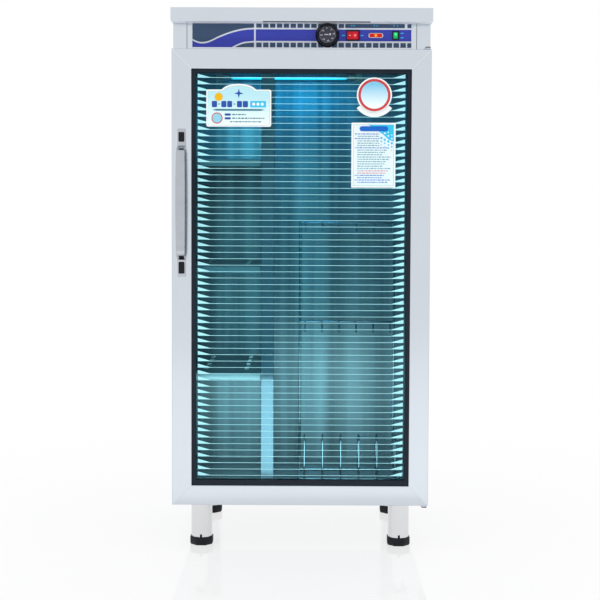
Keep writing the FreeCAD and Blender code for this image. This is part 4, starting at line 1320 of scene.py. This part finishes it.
@dataclass(frozen=True)
class Door:
    """The framed pane with its rubber, print, sheets, handle and hinge parts."""

    flank_side: float = 15.5
    flank_foot: float = 19.0
    flank_head: float = 14.5
    lip: float = 3.4
    lip_proud: float = 1.4
    lip_deep: float = 4.0
    seam: float = 0.75
    seam_proud: float = 0.25
    seam_stop: float = 2.0
    seam_start: Spot = (0.005, 0.02)
    line: float = 1.0
    line_pitch: float = 15.22
    line_top: float = 1126.9
    line_half: float = 244.0
    lines: int = 63
    tooth: Spot = (29.5, 9.4)
    film: float = 0.12

    def frame_members(self) -> None:
        """The four mitred channels."""
        for node, axis in (("door_stile_left", Axis.Z), ("door_stile_right", Axis.Z),
                           ("door_rail_top", Axis.X), ("door_rail_bottom", Axis.X)):
            dressed(node, node.replace("door_", "frame_"), "outer_steel", OUTER[axis], 0.35, "door")

    def rubber(self) -> None:
        """The glazing rubber, a broad flank with a raised lip, and the seal behind the frame."""
        ring = Span.of("glazing_gasket")
        outer = (ring.low.x, ring.high.x, ring.low.z, ring.high.z)
        inner = (ring.low.x + self.flank_side, ring.high.x - self.flank_side,
                 ring.low.z + self.flank_foot, ring.high.z - self.flank_head)
        groove = tuple(edge + way * self.lip for edge, way in zip(inner, (-1, 1, -1, 1)))
        flank = surround(outer, inner, ring.low.y, ring.high.y).eased(1.0)
        lip = surround(groove, inner, ring.low.y - self.lip_proud, ring.low.y + self.lip_deep).eased(1.1, 3)
        joined([flank, lip]).piece("glazing_rubber", "door", "gasket_rubber", RUBBER, "glazing_gasket")
        dressed("door_seal", "soft_seal", "gasket_rubber", RUBBER, 0.8, "door")

    def welds(self) -> None:
        """The ground seams of the frame's mitres."""
        left, right, pane = Span.of("door_stile_left"), Span.of("door_stile_right"), Span.of("door_glass")
        y, stop = Y_DOOR + self.seam_proud, self.seam_stop
        across, up = self.seam_start
        west, east = (left.low.x, pane.low.x + stop), (right.high.x, pane.high.x - stop)
        low, high = (left.low.z, pane.low.z + stop), (left.high.z, pane.high.z - stop)
        routes = [[(x0 * (1 - across) + x1 * across, y, z0 * (1 - up) + z1 * up), (x1, y, z1)]
                  for (x0, x1), (z0, z1) in ((west, low), (east, low), (east, high), (west, high))]
        wires(routes, self.seam).piece("mitre_seams", "door", "outer_steel", SEAM)

    def print_lines(self) -> None:
        """The pane's printed lines, each with a tooth at both ends."""
        y, edge = Span.of("door_glass").low.y, self.line_half
        long, high = self.tooth
        outlines = []
        for i in range(self.lines):
            z = self.line_top - i * self.line_pitch
            outlines.append([(-edge, z), (edge, z), (edge, z + high), (edge - long, z + self.line),
                             (long - edge, z + self.line), (-edge, z + high)])
        joined(plate(outline, Axis.Y, y - self.film, y + 0.01) for outline in outlines).piece(
            "pane_print", "door", "pane_glass", GLASS_INK)

    def build(self) -> None:
        """Make the door."""
        self.frame_members()
        self.rubber()
        self.welds()
        self.print_lines()
        kept("door_glass", PANE)
        Handle().build()
        Notices().build()
        dressed("hinge_bushes", "bearings", "black_plastic", BLACK, 0.4, "door")


@dataclass(frozen=True)
class Handle:
    """The chrome bow on its two pads, with black inserts.

    A station across it is its height, its front, its back and its half width. Those of the pad start at the
    handle's foot, and the power makes the section a soft rectangle.
    """

    pad: tuple[tuple[float, float, float, float], ...] = (
        (0, -216.4, -213, 9.1), (0.8, -217.6, -213, 9.6), (3, -218.0, -213, 9.7), (20, -218.4, -213, 9.8),
        (36, -218.6, -213, 9.9), (40, -219.8, -213, 10), (43, -225.5, -213.6, 10.1),
        (46.5, -234.5, -220, 10.2), (50, -243.5, -229.5, 10.4), (53.5, -248.8, -237.4, 10.5),
        (59, -250.4, -240.8, 10.6))
    ring: int = 24
    power: float = 0.42
    bow_stations: int = 11
    bow_short: float = 66.0
    bow_sag: float = 4.6
    bow_thick: float = 9.5
    bow_half: float = 11.5
    bow_taper: float = 0.8
    raised: float = 4.5
    insert_low: float = 28.0
    insert_high: float = 23.0
    insert_half: float = 7.0
    insert_y: Spot = (-219.6, -216.8)

    def section(self, z: float, front: float, back: float, half: float, x: float) -> list[Point]:
        """A soft rectangle across the bow.

        Args:
            z: its height.
            front: its front.
            back: its back.
            half: its half width.
            x: its middle.

        Returns:
            Its points, all the way round.
        """
        middle, deep = (front + back) / 2, (back - front) / 2
        points = []
        for i in range(self.ring):
            turn = 2 * math.pi * (i + 0.5) / self.ring
            across, along = [math.copysign(abs(c) ** self.power, c) for c in (math.cos(turn), math.sin(turn))]
            points.append((x + half * across, middle + deep * along, z))
        return points

    def bow(self) -> None:
        """Loft the bow from pad to pad."""
        span = Span.of("door_handle")
        middle, reach = span.middle.z, span.high.z - span.middle.z
        rising = [(z + span.low.z, front, back, half) for z, front, back, half in self.pad]
        falling = [(2 * middle - z, front, back, half) for z, front, back, half in reversed(rising)]
        between = []
        for i in range(self.bow_stations):
            along = -1 + 2 / (self.bow_stations - 1) * i
            front = span.low.y + self.bow_sag * along ** 2
            between.append((middle + along * (reach - self.bow_short), front, front + self.bow_thick,
                            self.bow_half - self.bow_taper * along ** 2))
        sections = [self.section(*station, span.middle.x) for station in rising + between + falling]
        lofted(sections).piece("bow_handle", "door", "handle_chrome", CHROME, "door_handle", rounds=1,
                               crease=70)

    def inserts(self) -> None:
        """Set a black insert in each pad."""
        x, caps = Span.of("door_handle").middle.x, Span.of("handle_caps")
        low = (caps.low.z, caps.low.z + self.insert_low)
        high = (caps.high.z - self.insert_high + self.raised, caps.high.z + self.raised)
        outlines = [rounded(x - self.insert_half, x + self.insert_half, *ends, 2.6) for ends in (low, high)]
        made = joined(plate(outline, Axis.Y, *self.insert_y, 0.6, 3) for outline in outlines)
        made.piece("handle_inserts", "door", "black_plastic", BLACK, "handle_caps")

    def build(self) -> None:
        """Make the handle."""
        self.bow()
        self.inserts()


@dataclass(frozen=True)
class Notices:
    """Sheets without words stuck on the pane: a crested plaque, a round label and an upright sheet."""

    thick: float = 0.3
    gap: float = 0.2
    lift: float = 3.4
    plaque_at: Spot = (-147.5, 1052.5)
    plaque_half: Spot = (76.5, 43.5)
    crest: tuple[Spot, ...] = ((43, 43.5), (39.5, 44.6), (33, 49.6), (22, 54.2), (0, 57.2), (-22, 54.2),
                               (-33, 49.6), (-39.5, 44.6), (-43, 43.5))
    disc_at: Spot = (-194.7, 1078.7)
    star_at: Spot = (-147.5, 1087.0)
    ring_at: Spot = (-198.5, 1029.0)
    blocks: tuple[Spot, ...] = ((-210.8, -198.5), (-188.6, -176.4), (-174.6, -163.1), (-151.7, -139.8),
                                (-138.0, -125.8))
    blocks_z: Spot = (1054.6, 1069.2)
    label_at: Spot = (171.3, 1084.2)
    label_radii: Point = (41.3, 37.8, 31.8)
    band_radii: Spot = (51.5, 40.5)
    sheet_at: Spot = (117.9, 1019.6)
    sheet: Spot = (104.0, 152.4)
    dot: float = 8.2
    rows: int = 22
    row_pitch: float = 5.4
    row_first: float = 26.5

    def layer(self, name: str, level: int, finish: Finish, *outlines: Sequence[Spot]) -> None:
        """Printed shapes on one level over the pane's face.

        Args:
            name: the piece's name.
            level: how many sheets lie under it.
            finish: its ink.
            outlines: the shapes.
        """
        y = Span.of("door_glass").low.y - self.gap - self.thick * level
        sheet = joined(plate(outline, Axis.Y, y - self.thick, y) for outline in outlines)
        sheet.shifted(z=self.lift).piece(name, "door", "printed_film", finish)

    def crested(self, across: float = 1, up: float = 1) -> list[Spot]:
        """The plaque's outline: a rectangle with round corners and a low crest on top.

        Args:
            across: its scale across.
            up: its scale upwards.

        Returns:
            The outline's spots.
        """
        (x, z), (wide, high) = self.plaque_at, self.plaque_half
        outline = rounded(-wide, wide, -high, high, 5, 5)
        return [(x + a * across, z + b * up) for a, b in outline[:6] + flowing(self.crest, 4) + outline[6:]]

    @staticmethod
    def dashes(x0: float, x1: float, z: float, high: float, seed: int) -> list[list[Spot]]:
        """A row of short plain strokes of uneven length.

        Args:
            x0: where the row starts.
            x1: where it ends.
            z: its middle.
            high: how high the strokes are.
            seed: a number that varies their lengths.

        Returns:
            The strokes' outlines.
        """
        strokes = []
        x = x0
        while x < x1 - 2:
            seed = (seed * 37 + 11) % 101
            long = min(2.4 + seed % 6, x1 - x)
            strokes.append(rounded(x, x + long, z - high / 2, z + high / 2, high * 0.4, 1))
            x += long + 1.3
        return strokes

    def plaque(self) -> None:
        """The plaque with its crest, its blocks of colour and rows of strokes."""
        sky = Inked("plaque_sky", (190, 236, 245), (240, 253, 253), (1015, 1085), 0.3)
        self.layer("plaque", 0, SHEET_WHITE, self.crested())
        self.layer("plaque_rim", 1, Inked("rim_grey", (176, 204, 206)), self.crested(0.952, 0.925))
        self.layer("plaque_field", 2, sky, self.crested(0.943, 0.911))
        self.layer("plaque_disc", 3, Inked("warm_yellow", (246, 188, 30)), arc(self.disc_at, 9.5, 0, 345, 24))
        x, z = self.star_at
        star = [(x + r * math.cos(t), z + r * math.sin(t)) for r, t in
                ((11 if i % 2 == 0 else 3.4, i * math.pi / 4) for i in range(8))]
        navy = [rounded(a, b, *self.blocks_z, 2.2, 3) for a, b in self.blocks]
        navy += [arc((x, 1062), 1.7, 0, 315, 8) for x in (-193.6, -157.5)]
        navy += [rounded(-180.8, -166, z, z + 5.2, 2.5, 4) for z in (1034.8, 1026)]
        self.layer("plaque_blocks", 3, Inked("navy_ink", (42, 84, 168)), star, *navy)
        spots = [rounded(a, a + 6.4, 1058.6, 1065.2, 1.6, 3) for a in (-115.4, -105.4, -95.4)]
        self.layer("plaque_spots", 4, SHEET_WHITE, *spots)
        self.layer("plaque_tab", 3, CYAN_INK, rounded(-120.5, -83.5, 1054.4, 1069.2, 1.2, 3))
        teal = [[(-210, 1048.4), (-200, 1046.4), (-96, 1046.4), (-86, 1048.4), (-96, 1050.4), (-200, 1050.4)]]
        teal += self.dashes(-163, -130, 1037.4, 3, 5) + self.dashes(-163, -84, 1028.8, 3, 9)
        teal += self.dashes(-168, -94, 1020.6, 2.6, 21)
        self.layer("plaque_rows", 3, Inked("teal_ink", (50, 120, 140)), *teal)
        ring, field = [arc(self.ring_at, radius, 0, 350, 36) for radius in (13.1, 10.9)]
        self.layer("plaque_ring", 3, SOFT_RED, ring)
        self.layer("plaque_ring_field", 4, Inked("ring_sky", (150, 214, 236)), field)

    def label(self) -> None:
        """The round label with its ring and the bare band under it."""
        whole, ring, field = [arc(self.label_at, radius, 0, 354, 60) for radius in self.label_radii]
        outer, inner = self.band_radii
        band = arc(self.label_at, outer, 216, 324, 19) + arc(self.label_at, inner, 324, 216, 19)
        sky = Inked("label_sky", (132, 206, 238), (240, 251, 253), (1061, 1113), 0.3)
        self.layer("round_label", 0, SHEET_WHITE, whole)
        self.layer("round_label_band", 0, SHEET_WHITE, band)
        self.layer("round_label_ring", 1, SOFT_RED, ring)
        self.layer("round_label_field", 2, sky, field)

    def upright(self) -> None:
        """The upright sheet with its head, its rows of strokes and its dotted corner."""
        (x, z), (wide, high), dot = self.sheet_at, self.sheet, self.dot
        field = Inked("sheet_field", (234, 247, 251), (224, 243, 249), (880, 1010))
        self.layer("upright_sheet", 0, SHEET_WHITE, rounded(x, x + wide, z - high, z, 1.5, 3))
        self.layer("upright_rim", 1, Inked("rim_sky", (132, 190, 212)),
                   rounded(x + 4.3, x + 100, z - 148.4, z - 4.2, 1))
        self.layer("upright_field", 2, field, rounded(x + 5, x + 99.3, z - 147.7, z - 4.9, 1, 3))
        corner = [(x + a, z - b) for a, b in ((40, 5.2), (99, 5.2), (99, 44), (88, 40), (74, 27), (56, 15))]
        cyan = [arc((x + 95 - dot * i, z - 48 - dot * j + 4.1 * i), 2.9 - 0.8 * j, 0, 315, 8)
                for i in range(4) for j in range(3)]
        white = [arc((x + 95 - dot * i, z - 37 + 6.2 * i - dot * j), 2.0 + 0.5 * j, 0, 315, 8)
                 for i in range(4) for j in range(-1, 1)]
        self.layer("upright_corner", 3, CYAN_INK, corner, *cyan)
        self.layer("upright_dots", 4, SHEET_WHITE, *white)
        self.layer("upright_head", 5, Inked("head_blue", (20, 104, 204)),
                   rounded(x + 19, x + 86, z - 20, z - 8.4, 5.6, 6))
        self.upright_rows(x, z - self.row_first)

    def upright_rows(self, x: float, z: float) -> None:
        """The upright sheet's rows of strokes, in three inks.

        Args:
            x: the sheet's left edge.
            z: the height of the first row.
        """
        headed, blue, pink = (0, 2, 6, 18, 20), (0, 2, 6, 18, 19, 20, 21), (16, 17)
        rows = {"blue": [], "teal": [], "pink": []}
        for i in range(self.rows):
            ink = "pink" if i in pink else "blue" if i in blue else "teal"
            start = x + (8 if i in headed else 14)
            end = x + (66 if i < 6 else 95 - (i * 29) % 24)
            rows[ink] += self.dashes(start, end, z - i * self.row_pitch, 2.2, 7 * i + 3)
        for ink, tone in (("blue", (70, 120, 205)), ("teal", (96, 160, 180)), ("pink", (216, 130, 150))):
            self.layer("upright_rows_" + ink, 3, Inked("row_" + ink, tone), *rows[ink])

    def build(self) -> None:
        """Make all the sheets."""
        self.plaque()
        self.label()
        self.upright()


@dataclass(frozen=True)
class Chamber:
    """The inside: walls, ceiling, floor, divider, rails and slotted shelves."""

    sheet_ease: float = 0.3
    post_ease: float = 1.2
    shelf_ease: float = 0.35

    def build(self) -> None:
        """Make the chamber's sheets."""
        # The side walls take the darker copy of the chamber sheet, which is painted shade.
        for node, finish in (("chamber_wall_left", SHADED_FLANKS), ("chamber_wall_right", SHADED_FLANKS),
                             ("chamber_back", WALLS[Axis.Z]), ("chamber_floor", WALLS[Axis.X]),
                             ("chamber_ceiling", WALLS[Axis.X]), ("divider_panel", POST),
                             ("shelf_rails", WALLS[Axis.Y])):
            ease = self.post_ease if finish is POST else self.sheet_ease
            dressed(node, "inner_" + node, "chamber_steel", finish, ease)
        for node in ("shelf_upper", "shelf_middle", "shelf_lower"):
            dressed(node, node + "_tray", "chamber_steel", TRAYS, self.shelf_ease, node)


@dataclass(frozen=True)
class Rack:
    """The welded wire board rack, with round wires and weld beads."""

    middle: float = 121.0
    pitch: float = 44.5
    count: int = 6
    half: float = 125.0
    thick: float = 3.0
    thin: float = 2.0
    weld_thick: float = 3.9
    weld_thin: float = 3.3
    weld_aside: float = 1.5
    floor: float = 144.5
    front: float = -120.0
    loop: float = 30.0
    floor_bar: float = 60.0
    floor_end: float = 190.0
    back: float = 187.0
    top: float = 264.0
    combs: Spot = (516.0, 780.0)
    prong: float = 68.0
    bend: float = 8.0
    drop: float = 22.0

    def places(self) -> list[float]:
        """The x places of the upright loops."""
        return [self.middle + (i - (self.count - 1) / 2) * self.pitch for i in range(self.count)]

    def sides(self) -> Spot:
        """The x places of the frame's two sides."""
        return self.middle - self.half, self.middle + self.half

    def beads(self, spots: Iterable[Point], radius: float) -> Form:
        """Small weld beads.

        Args:
            spots: where they are.
            radius: their radius.

        Returns:
            The beads in one form.
        """
        made = []
        for spot in spots:
            form = Form()
            place = Matrix.Translation(spot)
            bmesh.ops.create_icosphere(form.bm, subdivisions=2, radius=radius, matrix=place)
            made.append(form)
        return joined(made)

    def welded(self, name: str, node: str, bars: Sequence[Sequence[Point]], bent: Sequence[Sequence[Point]],
               spots: Sequence[Point], ends: Sequence[Point]) -> None:
        """One frame of the rack.

        Args:
            name: the piece's name.
            node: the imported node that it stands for.
            bars: the routes of its thick wires.
            bent: the routes of its thin wires.
            spots: where the thin wires are welded.
            ends: where the thick wires are welded.
        """
        made = joined([wires(bars, self.thick), wires(bent, self.thin), self.beads(spots, self.weld_thin),
                       self.beads(ends, self.weld_thick)])
        made.piece(name, "board_rack", "rack_wire", PLATED, node, crease=60)

    def base(self) -> None:
        """The floor frame with its row of loops."""
        (x0, x1), z = self.sides(), self.floor
        rear = self.front + 2 * self.loop
        across = (self.front, rear, self.floor_bar)
        bars = [[(x, self.front - self.thick, z), (x, self.floor_end, z)] for x in (x0, x1)]
        bars += [[(x0, y, z), (x1, y, z)] for y in across]
        bend = arc((self.front + self.loop, self.top - self.loop - self.thin), self.loop, 180, 0, 25)
        route = [(self.front, z), *bend, (rear, z)]
        loops = [[(x, y, level) for y, level in route] for x in self.places()]
        spots = [(x, y, z + self.weld_aside) for x in self.places() for y in (self.front, rear)]
        ends = [(x, y, z) for x in (x0, x1) for y in across]
        self.welded("rack_floor", "rack_base", bars, loops, spots, ends)

    def rear(self) -> None:
        """The rear frame with its two combs."""
        x0, x1 = self.sides()
        bars = [[(x, self.back, self.floor + self.thick), (x, self.back, self.combs[1] + self.thick)]
                for x in (x0, x1)]
        bars += [[(x0, self.back, z), (x1, self.back, z)] for z in self.combs]
        tip = self.back + self.thick - self.prong
        prongs = []
        for z in self.combs:
            bend = arc((tip + self.bend, z - self.bend), self.bend, 90, 180, 9)
            route = [(self.back, z), *bend, (tip, z - self.drop)]
            prongs += [[(x, y, level) for y, level in route] for x in self.places()]
        spots = [(x, self.back - self.weld_aside, z) for z in self.combs for x in self.places()]
        ends = [(x, self.back, z) for x in (x0, x1) for z in self.combs]
        self.welded("rack_rear", "rack_back", bars, prongs, spots, ends)

    def build(self) -> None:
        """Make the rack."""
        self.base()
        self.rear()


@dataclass(frozen=True)
class LampSet:
    """The germicidal lamp with its caps, pins, sockets and reflector."""

    inset: float = 7.0
    cap: float = 19.0
    pin_aside: float = 6.35
    pin_half: float = 1.1
    pin_long: float = 6.8
    discharge_low: float = 5.0

    @staticmethod
    def mirrored(half: Sequence[Spot], x0: float, x1: float) -> list[Spot]:
        """A profile with the same shape at both ends.

        Args:
            half: radius and distance from the end, from the end inwards.
            x0: the left end.
            x1: the right end.

        Returns:
            The profile from the left end to the right one.
        """
        return [(r, x0 + along) for r, along in half] + [(r, x1 - along) for r, along in reversed(half)]

    def ends(self, x0: float, x1: float, y: float, z: float) -> Form:
        """The caps with their pins.

        Args:
            x0: the lamp's left end.
            x1: its right end.
            y: its axis in depth.
            z: its axis in height.

        Returns:
            Both caps in one form.
        """
        made = []
        for start, way in ((x0, 1), (x1, -1)):
            profile = [(0, 0), (11.6, 0), (12.6, way * 1.0), (12.7, way * 15), (12.74, way * 17),
                       (12.4, way * self.cap), (12.2, way * self.cap)]
            made.append(turned([(r, start + along) for r, along in profile], (0, y, z), Axis.X, 48))
            tip = start - way * self.pin_long
            for level in (z - self.pin_aside, z + self.pin_aside):
                made.append(block((min(start, tip), y - self.pin_half, level - self.pin_half),
                                  (max(start, tip), y + self.pin_half, level + self.pin_half), 0.4))
        return joined(made)

    def build(self) -> None:
        """Make the lamp."""
        span = Span.of("uv_lamp")
        y, z = span.middle.y, span.middle.z
        x0, x1 = span.low.x + self.inset, span.high.x - self.inset
        glass = self.mirrored([(0, 2), (9, 3), (12, 8), (12.6, 14)], x0, x1)
        turned(glass, (0, y, z), Axis.X, 48).piece("lamp_tube", "cabinet", "lamp_glass", QUARTZ, "uv_lamp",
                                                   crease=60)
        core = self.mirrored([(0, 21), (1.8, 22), (2.8, 27)], x0, x1)
        turned(core, (0, y, z - self.discharge_low), Axis.X, 24).piece(
            "lamp_discharge", "cabinet", "lamp_glass", LAMP, crease=60)
        self.ends(x0, x1, y, z).piece("lamp_caps", "cabinet", "lamp_glass", CAN)
        dressed("lamp_holders", "lamp_sockets", "white_plastic", WHITE, 1.0)
        dressed("lamp_reflector", "reflector", "bright_reflector", MIRROR, 0.3)


@dataclass(frozen=True)
class Stand:
    """The four leg tubes and their screw feet."""

    pad: float = 27.5
    pad_rings: tuple[Spot, ...] = ((0, 0.92), (1.2, 0.95), (4, 1.0), (20, 1.0))
    collar: tuple[Spot, ...] = ((0, 20), (9, 20), (9, 21), (5.2, 21.4))
    thread: float = 1.75
    thread_from: float = 22.0
    thread_end: float = 24.0
    core: float = 5.2
    crest: float = 5.95
    tip: float = 5.0
    tip_short: float = 0.8

    def foot(self, name: str) -> None:
        """A faceted pad with eased edges on a threaded stem.

        Args:
            name: which foot it is.
        """
        span = Span.of("foot_" + name)
        x, y, top = span.middle.x, span.middle.y, span.high.z
        corner = self.pad / math.cos(math.pi / 8)
        rings = [[(*spot, z) for spot in arc((x, y), corner * share, 22.5, 337.5, 8)]
                 for z, share in self.pad_rings]
        base = lofted(rings).eased(1.1, 2)
        profile = list(self.collar)
        for i in range(int((top - self.thread_end) / self.thread)):
            z = self.thread_from + i * self.thread
            profile += [(self.core, z), (self.crest, z + self.thread * 0.4),
                        (self.crest, z + self.thread * 0.55)]
        profile += [(self.tip, top - self.tip_short), (0, top - self.tip_short)]
        stem = turned(profile, (x, y, 0), Axis.Z, 24)
        node = "foot_" + name
        joined([base, stem]).piece("screw_foot_" + name, node, "black_plastic", BLACK, node)

    def build(self) -> None:
        """Make the legs and feet."""
        for name in ("front_left", "front_right", "rear_left", "rear_right"):
            dressed("leg_" + name, "tube_" + name, "tube_steel", TUBE, 0.4)
            self.foot(name)


@dataclass(frozen=True)
class Fittings:
    """Hinge parts and the works that stay out of sight."""

    ease: float = 0.4

    def build(self) -> None:
        """Make the fittings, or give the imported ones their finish."""
        for node, name, finish in (("hinge_bracket_top", "upper_bracket", BRACKET),
                                   ("hinge_bracket_bottom", "lower_bracket", BRACKET),
                                   ("hinge_pins", "pins", PIN)):
            dressed(node, name, "tube_steel", finish, self.ease)
        for node, finish in (("leg_inserts", BLACK), ("lamp_ballast", IRON), ("lamp_starter", CAN),
                             ("terminal_block", WHITE), ("timer_mechanism", ZINC),
                             ("door_switch_body", BLACK), ("door_switch_plunger", WHITE)):
            kept(node, finish)


def main() -> None:
    """Build the room and then the cabinet, piece by piece."""
    logging.basicConfig(level=logging.INFO, format="%(message)s")
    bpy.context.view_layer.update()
    for assembly in (Studio(), Casing(), ControlStrip(), Door(), Chamber(), Rack(), LampSet(), Stand(),
                     Fittings()):
        log.info("building %s", type(assembly).__name__)
        assembly.build()
    bpy.context.view_layer.update()


if __name__ == "__main__":
    main()
